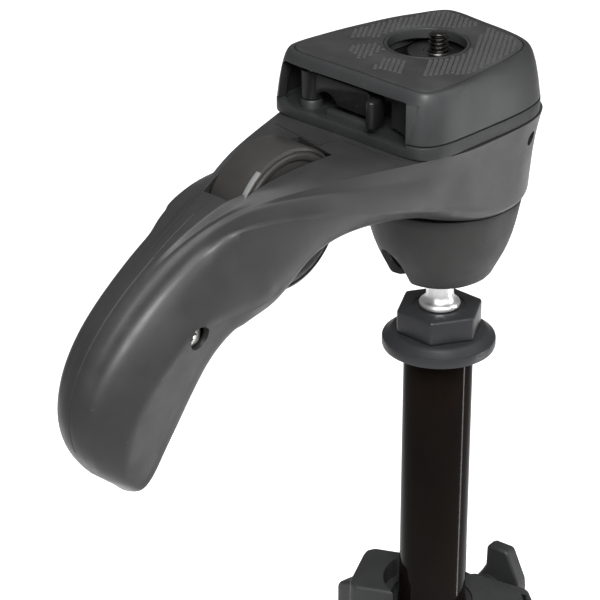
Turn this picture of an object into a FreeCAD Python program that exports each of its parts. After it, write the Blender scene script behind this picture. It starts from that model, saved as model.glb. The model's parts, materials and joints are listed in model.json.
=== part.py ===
"""Tripod with a joystick grip head: one STEP file per piece.

Frame: origin on the floor under the column axis, +Z up, +Y away from the grip, millimetres.
The head, column and shoulder are drawn in the head's own frame, whose z = 0 is the underside of
the column's flange, and are lifted by HEAD_Z at the end. A leg is drawn hanging straight down
from its hinge pin at the origin, +X outward, and is then spread and turned into place.
"""
import FreeCAD, Part
import math
import os

V = FreeCAD.Vector

# ---- driving dimensions -------------------------------------------------------------------
RUN = 0.05             # radial clearance of a shaft in its hole
GAP = 0.3              # clearance between neighbouring moving pieces

COLUMN_R = 11.0
COLUMN_WALL = 1.4
COLUMN_LENGTH = 280.0
COLUMN_RAISED = 92.0   # column showing above the shoulder

FLANGE_R = 18.0
FLANGE_RIM = 3.5
FLANGE_TOP = 5.9
FLANGE_TOP_R = 14.8
HEX_CORNER_R = 14.2
HEX_TOP = 14.0
STEM_R = 4.3
STEM_FOOT_R = 6.5

BALL_Z = 40.0
BALL_R = 12.0
LINER_R = 12.1
LINER_WALL = 1.2
SOCKET_R = 17.0
SOCKET_TOP = 57.6
CUP_BOTTOM = 25.0
CUP_TOP = 53.0
CUP_HOLE_R = 9.5
NOTCH_ANGLE = 257.0    # direction of the cup's notch, degrees from +X
NOTCH_HALF = 5.2
NOTCH_TOP = 38.0
SHOE_R = 7.0
SHOE_TOP = 67.4

DECK_TOP = 84.0        # top of the body, under the tray
DRUM_BOTTOM = 54.0
DRUM_R = 25.9
DRUM_SIDE = 29.8
DRUM_LIP_R = 25.0
DRUM_ROOM_R = 22.6
SHELL_WALL = 2.2
WHEEL_Y = -74.8
WHEEL_Z = 69.8
WHEEL_R = 21.6
WHEEL_HALF = 7.0
BAND_HALF = 6.2
SLOT_HALF = 7.4
SLOT_FRONT = -55.6
SLOT_REAR = -96.8
AXLE_R = 3.0
SCREW_HEAD_R = 3.2
CAM_R = 5.0
CAM_THROW = 1.0
CAM_PHASE = 60.0
CAM_HALF = 13.8
ROD_Z = 71.8
ROD_R = 4.0
FORK_LOW = 67.9
FORK_HIGH = 76.0

TRAY_BOTTOM = 84.3
TRAY_FLOOR = 86.8
TRAY_TOP = 88.2
PLATE_BOTTOM = 88.5
PLATE_TOP = 103.5
PLATE_WALL = 2.6
PLATE_WAIST = 98.0     # height where the plate's sides start to turn in faster
WAIST_SHARE = 0.42     # share of the way from the base outline to the top one there
REAR_LEFT = -28.0      # sides of the opening for the release lever
REAR_RIGHT = 23.0
ROOF_UNDER = 100.4
PAD_DEPTH = 0.8
PAD_PROUD = 0.15
OPENING_R = 11.9
OPENING_Y = -9.0
SCREW_Y = -3.7
SCREW_R = 3.175        # 1/4 in camera thread
SHANK_R = 2.6          # thinner shank that keeps the screw captive
THREAD_START = 99.9
SCREW_TOP = 105.6
LEVER_PIN_X = -19.5
LEVER_PIN_Y = -38.0

HUB_R = 20.0
BUSH_R = 13.5
BUSH_TOP = -93.6
LIP_R = 15.2
LOBE_ANGLES = (51.5, 171.5, 291.5)
LOBE_REACH = 36.0
LOBE_HALF = 11.5
LOBE_TOP = -95.0
HUB_BOTTOM = -122.0
TOWER_TOP = -87.0      # raised block on one side of the shoulder
TOWER_ANGLE = 207.0
TOWER_REACH = 27.5
TOWER_HALF = 13.0
HINGE_R = 27.0         # hinge pin's distance from the column axis
HINGE_DROP = 110.0     # hinge pin below the flange
PIN_R = 2.5
TONGUE_HALF = 5.9
TONGUE_R = 9.0
KNOB_ANGLE = 96.0
KNOB_Z = -110.0
WING_START = 34.5
WING_END = 40.0

SPREAD = 23.5
TUBE_R = (11.25, 9.5, 7.8)
TUBE_WALL = 0.95
TUBE_TOP = (-24.0, -32.0, -40.0)
TUBE_END = (-250.0, -288.0, -314.0)
COLLAR_TOP = (-226.0, -265.0)
COLLAR_END = (-257.0, -295.0)
COLLAR_WALL = 2.3
LEVER_HEIGHT = 15.0
LEVER_THICK = 3.0
LEVER_ARC = 115.0
FOOT_R = 9.6
FOOT_CENTRE = -318.0
FOOT_TOP = -302.0

HINGE_HEIGHT = FOOT_R - FOOT_CENTRE * math.cos(math.radians(SPREAD))
HEAD_Z = HINGE_HEIGHT + HINGE_DROP

# Closed outlines (x, y) of the tray and plate, point for point: at the base and at the top edge.
BASE_OUTLINE = (
    (0, -44.6), (13, -44.7), (22.5, -44.3), (27.6, -42.6), (30.2, -39), (31.3, -34), (31.7, -26),
    (31.8, -16), (31.8, -8), (31.3, 0), (29.7, 7), (26, 12.9), (20.8, 17.1), (12, 19.9), (0, 21.2),
    (-10, 21.6), (-17, 19.9), (-21.4, 15.6), (-24.9, 11), (-27.7, 4.6), (-29.4, -2.3), (-30.7, -12),
    (-31.3, -18), (-31.8, -26), (-32, -34), (-31.2, -39.6), (-28.8, -42.9), (-24, -44.5), (-13, -44.8))
TOP_OUTLINE = (
    (0, -41.4), (12.5, -41.6), (21.5, -41.3), (25.9, -39.9), (27.9, -36.6), (28.6, -32), (28.9, -25),
    (28.2, -15.4), (27.5, -8), (26.6, -0.5), (25.2, 6.2), (22.6, 11.1), (18.4, 13.9), (10.8, 15.9),
    (-1, 17.2), (-9.8, 18.2), (-14.4, 17.4), (-17.2, 13.6), (-19.2, 9), (-21.6, 3.4), (-23.6, -3),
    (-25.9, -12.6), (-27, -18), (-28.2, -25.8), (-29, -33), (-28.6, -37.6), (-26.2, -40.4), (-21.5, -41.5),
    (-12, -41.6))
OUTLINE_CENTRE = (0.0, -11.5)

# Stations along the body, from the neck to the end of the grip. Each is a flat section through
# its outer point and inner point (y, z). The pairs are half width and share of the way from the
# outer point to the inner one: spine edge, upper crease, main crease, widest line. The last
# value is the half width at the inner edge.
STATIONS = (
    ((-18, 84.0), (-18, 58.0), (20, .0), (25, .05), (25.5, .80), (24.5, .92), 23.5),
    ((-45, 84.6), (-45, 62.8), (24, .0), (27, .04), (24.5, .84), (21, .94), 17),
    ((-60, 85.6), (-60, 64.5), (19, .0), (22.5, .07), (23, .70), (19.8, .88), 16),
    ((-74, 85.8), (-74, 62.5), (14, .0), (17.5, .10), (20, .45), (18.6, .82), 15),
    ((-87, 84.8), (-81.2, 56.2), (10, .02), (13, .08), (17.5, .30), (17.6, .85), 14.5),
    ((-98, 83.0), (-88.2, 50.4), (4.5, .01), (9.5, .06), (14.3, .17), (17, .80), 13.5),
    ((-105.8, 79.8), (-94.7, 47.9), (4, .01), (6.8, .05), (12, .12), (16.5, .70), 12),
    ((-113.7, 76.7), (-100.5, 45.4), (2.6, .01), (5.6, .03), (10.8, .11), (16, .58), 11),
    ((-123.6, 71.2), (-107.4, 40.9), (1.5, .0), (5, .02), (10, .11), (15.5, .47), 10),
    ((-134.4, 64.6), (-112.0, 35.2), (1.5, .0), (5, .02), (9.4, .10), (15, .40), 9.5),
    ((-143.3, 57.1), (-116.8, 28.7), (1.5, .0), (5, .02), (9, .09), (14.5, .36), 9.5),
    ((-150.3, 48.7), (-121.5, 22.2), (1.5, .0), (5, .02), (8.4, .08), (13.8, .34), 9.5),
    ((-154.5, 39.0), (-126.2, 16.6), (1.5, .0), (4.6, .02), (7.6, .08), (13, .32), 9.2),
    ((-154.8, 30.2), (-129.8, 11.6), (1.5, .0), (4.2, .02), (6.8, .09), (12, .33), 8.8),
    ((-151.8, 22.0), (-133.6, 7.6), (1.2, .0), (3.6, .03), (5.8, .12), (10.4, .38), 8),
    ((-147.6, 15.6), (-137.4, 5.2), (1, .0), (2.6, .05), (4.2, .18), (6.5, .45), 5),
)


# ---- helpers ------------------------------------------------------------------------------
def cylinder(radius, z0, z1, x=0.0, y=0.0):
    return Part.makeCylinder(radius, z1 - z0, V(x, y, z0))


def cylinder_along(radius, start, end):
    direction = end.sub(start)
    return Part.makeCylinder(radius, direction.Length, start, direction)


def box(x0, x1, y0, y1, z0, z1):
    return Part.makeBox(x1 - x0, y1 - y0, z1 - z0, V(x0, y0, z0))


def tube(outer, inner, z0, z1, x=0.0, y=0.0):
    return cylinder(outer, z0, z1, x, y).cut(cylinder(inner, z0 - 1, z1 + 1, x, y))


def revolve(profile):
    """Turn a closed (radius, z) outline about the Z axis."""
    points = [V(r, 0, z) for r, z in profile]
    wire = Part.makePolygon(points + points[:1])
    return Part.Face(wire).revolve(V(0, 0, 0), V(0, 0, 1), 360)


def prism(points, z0, z1):
    """Extrude a closed (x, y) outline from z0 to z1."""
    corners = [V(x, y, z0) for x, y in points]
    return Part.Face(Part.makePolygon(corners + corners[:1])).extrude(V(0, 0, z1 - z0))


def fuse_all(shapes):
    result = shapes[0]
    for shape in shapes[1:]:
        result = result.fuse(shape)
    return result.removeSplitter()


def cut_all(shape, tools):
    for tool in tools:
        shape = shape.cut(tool)
    return shape


def turned(shape, angle, centre=V(0, 0, 0), axis=V(0, 0, 1)):
    copy = shape.copy()
    copy.rotate(centre, axis, angle)
    return copy


def moved(shape, x=0.0, y=0.0, z=0.0):
    copy = shape.copy()
    copy.translate(V(x, y, z))
    return copy


def outline_points(share=0.0, inset=0.0):
    """The outline a share of the way from the base to the top one, drawn in by a margin."""
    points = []
    for (x0, y0), (x1, y1) in zip(BASE_OUTLINE, TOP_OUTLINE):
        x = x0 + (x1 - x0) * share - OUTLINE_CENTRE[0]
        y = y0 + (y1 - y0) * share - OUTLINE_CENTRE[1]
        keep = 1 - inset / math.hypot(x, y)
        points.append((x * keep + OUTLINE_CENTRE[0], y * keep + OUTLINE_CENTRE[1]))
    return points


def smooth_outline_face(points, z):
    """A closed smooth curve through the points, as a flat face."""
    curve = Part.BSplineCurve()
    curve.interpolate([V(x, y, z) for x, y in points], PeriodicFlag=True)
    return Part.Face(Part.Wire(curve.toShape()))


def outline_prism(points, z0, z1):
    return smooth_outline_face(points, z0).extrude(V(0, 0, z1 - z0))


def outline_loft(*levels):
    """A solid through outlines, each given with its height."""
    wires = [smooth_outline_face(points, z).OuterWire for points, z in levels]
    return Part.makeLoft(wires, True, True)


# ---- plate and tray -----------------------------------------------------------------------
def plate_sides(inset, low, high):
    """The plate's tapering sides, drawn in by a margin, as a solid."""
    base = outline_points(0.0, inset)
    waist = outline_points(WAIST_SHARE, inset)
    top = outline_points(1.0, inset)
    return outline_loft((base, low), (waist, PLATE_WAIST), (top, high))


def plate_shell():
    outer = plate_sides(0.0, PLATE_BOTTOM, PLATE_TOP)
    inner = plate_sides(PLATE_WALL, PLATE_BOTTOM - 0.1, PLATE_TOP)
    inner = inner.common(box(-50, 50, -60, 40, PLATE_BOTTOM - 1, ROOF_UNDER))
    rim = cylinder(OPENING_R, ROOF_UNDER - 1, PLATE_TOP + 1, 0, OPENING_Y)
    rear = box(REAR_LEFT, REAR_RIGHT, -60, -36, PLATE_BOTTOM - 1, ROOF_UNDER)
    pad_seat = outline_prism(outline_points(1.0, 1.9), PLATE_TOP - PAD_DEPTH, PLATE_TOP + 1)
    scoop = [(12, -37.4), (15.5, -38.4), (19, -40), (21.5, -41.9), (23, -44)]
    jamb = prism(scoop + [(26, -43), (26, -35), (12, -35)], PLATE_BOTTOM, ROOF_UNDER + 0.5)
    shell = cut_all(outer, [inner, rim, rear, pad_seat])
    return fuse_all([shell, guide_rails(), jamb.common(outer)]).removeSplitter()


def guide_rails():
    """Two rails under the roof that the screw carrier's wings run between."""
    rails = [box(side * 14.5 - 1.5, side * 14.5 + 1.5, -24, 9, 97.9, ROOF_UNDER) for side in (-1, 1)]
    return Part.makeCompound(rails)


def plate_pad():
    pad = outline_prism(outline_points(1.0, 2.0), PLATE_TOP - PAD_DEPTH, PLATE_TOP + PAD_PROUD)
    return pad.cut(cylinder(OPENING_R, PLATE_TOP - 5, PLATE_TOP + 5, 0, OPENING_Y))


def screw_carrier():
    disc = cylinder(9.5, 97.6, 99.8, 0, SCREW_Y)
    wings = box(-17, 17, SCREW_Y - 5, SCREW_Y + 5, 95.6, 97.6)
    return disc.fuse(wings).cut(cylinder(SHANK_R + RUN, 90, 105, 0, SCREW_Y)).removeSplitter()


def camera_screw():
    shank = cylinder(SHANK_R, 93, THREAD_START, 0, SCREW_Y)
    thread = cylinder(SCREW_R, THREAD_START, SCREW_TOP - 0.6, 0, SCREW_Y)
    tip = Part.makeCone(SCREW_R, SCREW_R - 0.6, 0.6, V(0, SCREW_Y, SCREW_TOP - 0.6))
    head = cylinder(7.5, 90.4, 94.4, 0, SCREW_Y)
    coin_slot = box(-0.8, 0.8, SCREW_Y - 8, SCREW_Y + 8, 90, 91.6)
    return fuse_all([shank, thread, tip, head]).cut(coin_slot)


def screw_clip():
    ring = tube(5.2, SHANK_R + 0.02, 94.7, 95.3, 0, SCREW_Y)
    return ring.cut(box(-1.6, 1.6, SCREW_Y, SCREW_Y + 9, 94, 96))


def plate_base():
    body = outline_prism(outline_points(), TRAY_BOTTOM, TRAY_TOP)
    well = outline_prism(outline_points(0.0, PLATE_WALL), TRAY_FLOOR, TRAY_TOP + 1)
    rear = box(REAR_LEFT, REAR_RIGHT, -60, -36, TRAY_FLOOR, TRAY_TOP + 1)
    post = cylinder(3.4, TRAY_FLOOR - 1, 89.4, LEVER_PIN_X, LEVER_PIN_Y)
    block = box(-11, 11, -27, 10, TRAY_FLOOR - 1, 89.6)
    hollow = box(-9, 9, -25, 8, TRAY_FLOOR, 91)
    body = cut_all(body, [well, rear]).fuse(block.cut(hollow)).fuse(post)
    pin_hole = cylinder(1.5, TRAY_BOTTOM - 1, 95, LEVER_PIN_X, LEVER_PIN_Y)
    holes = [cylinder(1.6, TRAY_BOTTOM - 1, TRAY_FLOOR + 1, x, y) for x, y in base_screw_places()]
    return cut_all(body, [pin_hole] + holes).removeSplitter()


def base_screw_places():
    return [(side * 15.0, y) for side in (-1, 1) for y in (-22.0, 6.0)]


def base_screws():
    screws = []
    for x, y in base_screw_places():
        shaft = cylinder(1.55, 78.5, TRAY_FLOOR + 0.1, x, y)
        head = cylinder(2.8, TRAY_FLOOR + 0.05, TRAY_FLOOR + 1.8, x, y)
        socket = prism(hexagon(1.1, x, y), TRAY_FLOOR + 0.8, TRAY_FLOOR + 3)
        screws.append(shaft.fuse(head).cut(socket).removeSplitter())
    return Part.makeCompound(screws)


def hexagon(radius, x=0.0, y=0.0, turn=0.0):
    angles = [math.radians(60 * k + turn) for k in range(6)]
    return [(x + radius * math.cos(a), y + radius * math.sin(a)) for a in angles]


def release_lever():
    blade = box(LEVER_PIN_X, 6, LEVER_PIN_Y - 1.3, LEVER_PIN_Y + 1.3, 89.9, 98.0)
    arch = cylinder_along(4.5, V(-12.5, LEVER_PIN_Y - 5, 88.6), V(-12.5, LEVER_PIN_Y + 5, 88.6))
    barrel = cylinder(3.2, 89.7, 98.6, LEVER_PIN_X, LEVER_PIN_Y)
    tab = prism([(4.6, -39.3), (8.2, -45.0), (10.6, -44.4), (9.0, -36.7), (4.6, -36.7)], 89.2, 97.6)
    bore = cylinder(1.5 + RUN, 80, 105, LEVER_PIN_X, LEVER_PIN_Y)
    return fuse_all([blade.cut(arch), barrel, tab]).cut(bore)


def lever_pin():
    return cylinder(1.49, TRAY_BOTTOM + 0.2, 99.6, LEVER_PIN_X, LEVER_PIN_Y)


# ---- grip body ----------------------------------------------------------------------------
def station_wire(station, inset=0.0):
    """The closed, left-right even outline of one body section."""
    outer = V(0, station[0][0], station[0][1])
    inner = V(0, station[1][0], station[1][1])
    across = inner.sub(outer)
    length = across.Length
    across.normalize()
    start = outer.add(across * inset)
    reach = length - 2 * inset
    right = []
    for half_width, share in list(station[2:6]) + [(station[6], .98)]:
        place = min(max(share * length - inset, 0.0), reach)
        right.append(start.add(across * place).add(V(max(half_width - inset, 0.4), 0, 0)))
    left = [V(-p.x, p.y, p.z) for p in reversed(right)]
    return Part.makePolygon(right + left + right[:1])


def grip_solid(inset=0.0, stations=STATIONS):
    wires = [station_wire(station, inset) for station in stations]
    return Part.makeLoft(wires, True, True)


def drum_solid():
    """Upright drum round the ball, widening to the tray's outline at the top."""
    angles = [math.radians(-90 + 18 * k) for k in range(20)]
    low = [(DRUM_R * math.cos(a), DRUM_R * math.sin(a)) for a in angles]
    high = [(drum_reach(a) * math.cos(a), drum_reach(a) * math.sin(a)) for a in angles]
    return outline_loft((low, DRUM_BOTTOM), (high, DECK_TOP))


def drum_reach(angle):
    """How far the drum's top edge is from the column axis in one direction."""
    if math.sin(angle) > 0:
        return DRUM_SIDE - 8.6 * math.sin(angle) ** 4
    return DRUM_SIDE - 4.5 * abs(math.sin(angle)) ** 3


def body_solid():
    lip = cylinder(DRUM_LIP_R, CUP_TOP + GAP, DRUM_BOTTOM + 1)
    shoulder_deck = outline_prism(outline_points(), 80.5, DECK_TOP)
    under_tray = box(-40, 40, -49, 40, DECK_TOP, 100)
    return fuse_all([grip_solid(), drum_solid(), lip, shoulder_deck]).cut(under_tray)


def body_hollow():
    drum = cylinder(DRUM_ROOM_R, CUP_TOP - 2, 79.5)
    neck = grip_solid(SHELL_WALL, STATIONS[:8])
    grip = grip_solid(SHELL_WALL, STATIONS[7:15])
    return [drum, neck.cut(box(-40, 40, -40, 0, 79.5, 90)), grip]


def wheel_pocket():
    """Room for the wheel: an open slot above, and below the neck."""
    left, right = (V(x, WHEEL_Y, WHEEL_Z) for x in (-SLOT_HALF, SLOT_HALF))
    wheel_room = cylinder_along(WHEEL_R + 1.2, left, right)
    front = box(-SLOT_HALF, SLOT_HALF, WHEEL_Y, SLOT_FRONT, 82.5, 100)
    rear = box(-SLOT_HALF, SLOT_HALF, SLOT_REAR, WHEEL_Y, 77.0, 100)
    return fuse_all([wheel_room, front, rear])


def fork_room():
    """Room for the brake rod and its fork beside the wheel."""
    rod = cylinder_along(ROD_R + 0.6, V(0, -58, ROD_Z), V(0, -10, ROD_Z))
    half = CAM_HALF + 0.6
    fork = box(-half, half, -70.2, -49, FORK_LOW - 0.6, FORK_HIGH + 0.6)
    cam_room = CAM_R + CAM_THROW + 0.4
    cams = cylinder_along(cam_room, V(-half, WHEEL_Y, WHEEL_Z), V(half, WHEEL_Y, WHEEL_Z))
    return [rod, fork, cams]


def axle_bosses():
    bosses = []
    for side in (-1, 1):
        start = V(side * 14.6, WHEEL_Y, WHEEL_Z)
        bosses.append(cylinder_along(5.5, start, V(side * 18.2, WHEEL_Y, WHEEL_Z)))
    return bosses


def screw_bosses():
    """Posts that the shell screws run in, right across the body."""
    posts = []
    for y, z, reach, side in shell_screw_places():
        posts.append(cylinder_along(3.6, V(-reach, y, z), V(reach, y, z)))
    return posts


def shell_screw_places():
    """(y, z, half width there, side of the head) of the screws that join the two halves."""
    return ((-119.5, 51.8, 13.5, 1), (-104.5, 66.0, 13.0, -1), (-140.0, 27.0, 11.0, -1))


def shell_screw_wells():
    """Bore and head well of each shell screw."""
    wells = []
    for y, z, reach, side in shell_screw_places():
        wells.append(cylinder_along(1.6, V(side * (4 - reach), y, z), V(side * 30, y, z)))
        wells.append(cylinder_along(SCREW_HEAD_R + 0.3, V(side * (reach - 3), y, z), V(side * 30, y, z)))
    return wells


def spine_wedge():
    """The strip behind the wheel, narrowing to a point down the back of the grip."""
    return prism([(5.0, -97.5), (4.0, -106), (0.6, -121), (-0.6, -121), (-4.0, -106), (-5.0, -97.5)], 60, 95)


def body_parts():
    """Left shell, right shell and spine cover."""
    outer = body_solid()
    room = cut_all(outer, body_hollow() + fork_room())
    bosses = fuse_all(axle_bosses() + screw_bosses())
    room = room.fuse(bosses.common(outer))
    pin_bore = cylinder_along(AXLE_R + 0.02, V(-17.0, WHEEL_Y, WHEEL_Z), V(17.0, WHEEL_Y, WHEEL_Z))
    room = cut_all(room, [wheel_pocket(), pin_bore])
    room = cut_all(room, shell_screw_wells())
    for x, y in base_screw_places():
        room = room.cut(cylinder(1.6, 77, 90, x, y))
    front = V(22.8, 7.6, 76.5)
    room = room.cut(cylinder_along(2.4, front, front.add(V(9, 3, 0))))
    under = grip_solid(SHELL_WALL, STATIONS[:10])
    spine = outer.common(spine_wedge()).cut(under).cut(wheel_pocket())
    room = room.cut(spine_wedge().cut(under))
    right = room.common(box(0.05, 60, -200, 60, 0, 120))
    left = room.common(box(-60, -0.05, -200, 60, 0, 120))
    return biggest(left), biggest(right), biggest(spine)


def biggest(shape):
    return max(shape.Solids, key=lambda solid: solid.Volume)


def shell_screws():
    screws = []
    for y, z, reach, side in shell_screw_places():
        shaft = cylinder_along(1.55, V(side * (4.2 - reach), y, z), V(side * (reach - 2.9), y, z))
        head = cylinder_along(SCREW_HEAD_R, V(side * (reach - 2.95), y, z), V(side * (reach - 1.2), y, z))
        bars = [box(reach - 1.9, reach + 2, y - a, y + a, z - b, z + b) for a, b in ((0.4, 1.8), (1.8, 0.4))]
        cross = fuse_all(bars)
        if side < 0:
            cross = cross.mirror(V(0, 0, 0), V(1, 0, 0))
        screws.append(shaft.fuse(head).cut(cross).removeSplitter())
    return Part.makeCompound(screws)


# ---- wheel and brake ----------------------------------------------------------------------
def lock_wheel():
    chamfer = WHEEL_HALF - BAND_HALF
    band = cylinder_along(WHEEL_R, V(-BAND_HALF, WHEEL_Y, WHEEL_Z), V(BAND_HALF, WHEEL_Y, WHEEL_Z))
    sides = []
    for side in (-1, 1):
        place = V(side * BAND_HALF, WHEEL_Y, WHEEL_Z)
        sides.append(Part.makeCone(WHEEL_R, WHEEL_R - 0.8, chamfer, place, V(side, 0, 0)))
        throw = math.radians(CAM_PHASE)
        cam_y = WHEEL_Y + CAM_THROW * math.cos(throw)
        cam_z = WHEEL_Z + CAM_THROW * math.sin(throw)
        sides.append(cylinder_along(CAM_R, V(side * 6.5, cam_y, cam_z), V(side * CAM_HALF, cam_y, cam_z)))
    wheel = fuse_all([band] + sides)
    bore = cylinder_along(AXLE_R + RUN, V(-20, WHEEL_Y, WHEEL_Z), V(20, WHEEL_Y, WHEEL_Z))
    return wheel.cut(bore).cut(index_solid())


def index_solid():
    """A light strip let into the wheel's right edge, over a part of a turn."""
    outer = cylinder_along(WHEEL_R + 0.1, V(4.7, WHEEL_Y, WHEEL_Z), V(6.1, WHEEL_Y, WHEEL_Z))
    inner = cylinder_along(WHEEL_R - 1.0, V(4, WHEEL_Y, WHEEL_Z), V(8, WHEEL_Y, WHEEL_Z))
    wedge_points = [V(4, WHEEL_Y, WHEEL_Z)]
    for angle in (122, 140, 158, 172, 186):
        a = math.radians(angle)
        wedge_points.append(V(4, WHEEL_Y + 40 * math.cos(a), WHEEL_Z + 40 * math.sin(a)))
    wedge = Part.Face(Part.makePolygon(wedge_points + wedge_points[:1])).extrude(V(4, 0, 0))
    return outer.cut(inner).common(wedge)


def wheel_axle():
    return cylinder_along(AXLE_R, V(-16.8, WHEEL_Y, WHEEL_Z), V(16.8, WHEEL_Y, WHEEL_Z))


def brake_rod():
    rod = cylinder_along(ROD_R, V(0, -52, ROD_Z), V(0, -7, ROD_Z))
    taper = Part.makeCone(ROD_R, 1.1, 14, V(0, -7, ROD_Z), V(0, 1, 0))
    bar = box(-CAM_HALF + 0.4, CAM_HALF - 0.4, -51.9, -50, FORK_LOW, FORK_HIGH)
    face = WHEEL_Y + CAM_THROW * math.cos(math.radians(CAM_PHASE)) + CAM_R + 0.1
    arms = [box(side * 11.6 - 1.8, side * 11.6 + 1.8, face, -50, FORK_LOW, FORK_HIGH) for side in (-1, 1)]
    return fuse_all([rod, taper, bar] + arms)


def brake_shoe():
    shoe = cylinder(SHOE_R, 50, SHOE_TOP)
    return shoe.cut(Part.makeSphere(BALL_R + 0.25, V(0, 0, BALL_Z)))


# ---- ball joint ---------------------------------------------------------------------------
def ball_socket():
    block = cylinder(SOCKET_R, 38.6, SOCKET_TOP).fuse(Part.makeCone(15.0, SOCKET_R, 2.0, V(0, 0, 36.6)))
    flange = cylinder(22.4, SOCKET_TOP - 3.5, SOCKET_TOP)
    cavity = Part.makeSphere(LINER_R + LINER_WALL + 0.25, V(0, 0, BALL_Z))
    mouth = cylinder(13.0, 30, BALL_Z - 2)
    bore = cylinder(SHOE_R + RUN, BALL_Z, 70)
    return cut_all(block.fuse(flange), [cavity, mouth, bore]).removeSplitter()


def ball_liner():
    outer = Part.makeSphere(LINER_R + LINER_WALL, V(0, 0, BALL_Z))
    inner = Part.makeSphere(LINER_R, V(0, 0, BALL_Z))
    zone = box(-30, 30, -30, 30, BALL_Z - 2.8, BALL_Z + 6)
    return outer.cut(inner).common(zone)


def ball():
    sphere = Part.makeSphere(BALL_R, V(0, 0, BALL_Z))
    return sphere.cut(cylinder(STEM_R + 0.02, BALL_Z - 20, BALL_Z))


def stem():
    foot = cylinder(STEM_FOOT_R, HEX_TOP, 15.5)
    flare = Part.makeCone(STEM_FOOT_R, STEM_R, 2.0, V(0, 0, 15.5))
    neck = cylinder(STEM_R, 17.5, BALL_Z - 0.1)
    stud = cylinder(3.0, -12, HEX_TOP + 0.5)
    return fuse_all([foot, flare, neck, stud])


def selector_cup():
    """Bell-shaped cup under the drum; the inside has a shelf that runs on the socket."""
    outside = [(24.5, CUP_TOP), (23.95, 50.0), (23.4, 47.0), (22.75, 44.0), (22.0, 41.0), (21.05, 38.0),
               (19.85, 35.0), (18.4, 32.0), (17.35, 30.0), (16.4, 28.0), (15.6, 27.0), (14.0, 26.0),
               (12.6, 25.3), (11.0, CUP_BOTTOM), (CUP_HOLE_R, CUP_BOTTOM)]
    inside = [(CUP_HOLE_R, 26.6), (11.6, 26.8), (13.6, 28.4), (15.2, 30.8), (16.9, 34.4), (18.6, 38.4),
              (20.2, 43.6)]
    shelf_r = SOCKET_R + 0.06
    shelf = [(20.9, 48.6), (shelf_r, 48.6), (shelf_r, 50.6), (21.4, 50.6), (22.3, CUP_TOP)]
    return revolve(outside + inside + shelf).cut(notch_tool())


def notch_tool():
    """Arched slot from the middle outwards, pointing along +X before it is turned."""
    arch_z = NOTCH_TOP - NOTCH_HALF
    slot = box(4, 40, -NOTCH_HALF, NOTCH_HALF, CUP_BOTTOM - 2, arch_z)
    arch = cylinder_along(NOTCH_HALF, V(4, 0, arch_z), V(40, 0, arch_z))
    return turned(slot.fuse(arch), NOTCH_ANGLE)


def cup_ring():
    ring = tube(18.9, SOCKET_R + 0.02, 46.4, 48.2)
    return ring.cut(box(14, 22, -1.5, 1.5, 40, 50))


# ---- column -------------------------------------------------------------------------------
def top_flange():
    rim = cylinder(FLANGE_R, 0, FLANGE_RIM)
    cone = Part.makeCone(FLANGE_R - 0.5, FLANGE_TOP_R, FLANGE_TOP - FLANGE_RIM, V(0, 0, FLANGE_RIM))
    return rim.fuse(cone).cut(cylinder(8.0, -1, 10)).removeSplitter()


def hex_boss():
    block = prism(hexagon(HEX_CORNER_R), FLANGE_TOP, HEX_TOP)
    softener = Part.makeCone(17.0, 12.2, 8.0, V(0, 0, HEX_TOP - 5.2))
    spigot = cylinder(7.95, -22, FLANGE_TOP)
    block = block.common(softener.fuse(cylinder(20, 0, HEX_TOP - 5.2)))
    return block.fuse(spigot).cut(cylinder(3.02, -13, 20)).removeSplitter()


def column_tube():
    sleeve = tube(COLUMN_R, COLUMN_R - COLUMN_WALL, -COLUMN_LENGTH, -0.02)
    plug = tube(COLUMN_R - COLUMN_WALL, 8.0, -24, -2)
    return sleeve.fuse(plug).removeSplitter()


def column_end_cap():
    plate = cylinder(COLUMN_R + 0.8, -COLUMN_LENGTH - 5, -COLUMN_LENGTH - 0.02)
    plug = cylinder(COLUMN_R - COLUMN_WALL - 0.03, -COLUMN_LENGTH - 0.02, -COLUMN_LENGTH + 10)
    return plate.fuse(plug).removeSplitter()


# ---- shoulder -----------------------------------------------------------------------------
def lobe(angle):
    points = [(8, -LOBE_HALF), (LOBE_REACH - 4, -LOBE_HALF), (LOBE_REACH, -LOBE_HALF + 4),
              (LOBE_REACH, LOBE_HALF - 4), (LOBE_REACH - 4, LOBE_HALF), (8, LOBE_HALF)]
    block = prism(points, HUB_BOTTOM, LOBE_TOP)
    slope_points = [V(18, -20, LOBE_TOP + 0.01), V(40, -20, LOBE_TOP + 0.01), V(40, -20, LOBE_TOP - 8.5)]
    slope = Part.Face(Part.makePolygon(slope_points + slope_points[:1])).extrude(V(0, 40, 0))
    return turned(block.cut(slope), angle)


def lobe_slot(angle):
    half = TONGUE_HALF + GAP
    room = box(16.6, 50, -half, half, HUB_BOTTOM - 1, -HINGE_DROP + TONGUE_R + 0.6)
    return turned(room, angle)


def pin_line(angle, half, radius):
    """A rod along the hinge axis of one lobe."""
    rod = cylinder_along(radius, V(HINGE_R, -half, -HINGE_DROP), V(HINGE_R, half, -HINGE_DROP))
    return turned(rod, angle)


def knob_line(radius, near, far):
    """A rod pointing out from the column along the knob's axis."""
    rod = cylinder_along(radius, V(near, 0, KNOB_Z), V(far, 0, KNOB_Z))
    return turned(rod, KNOB_ANGLE)


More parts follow.
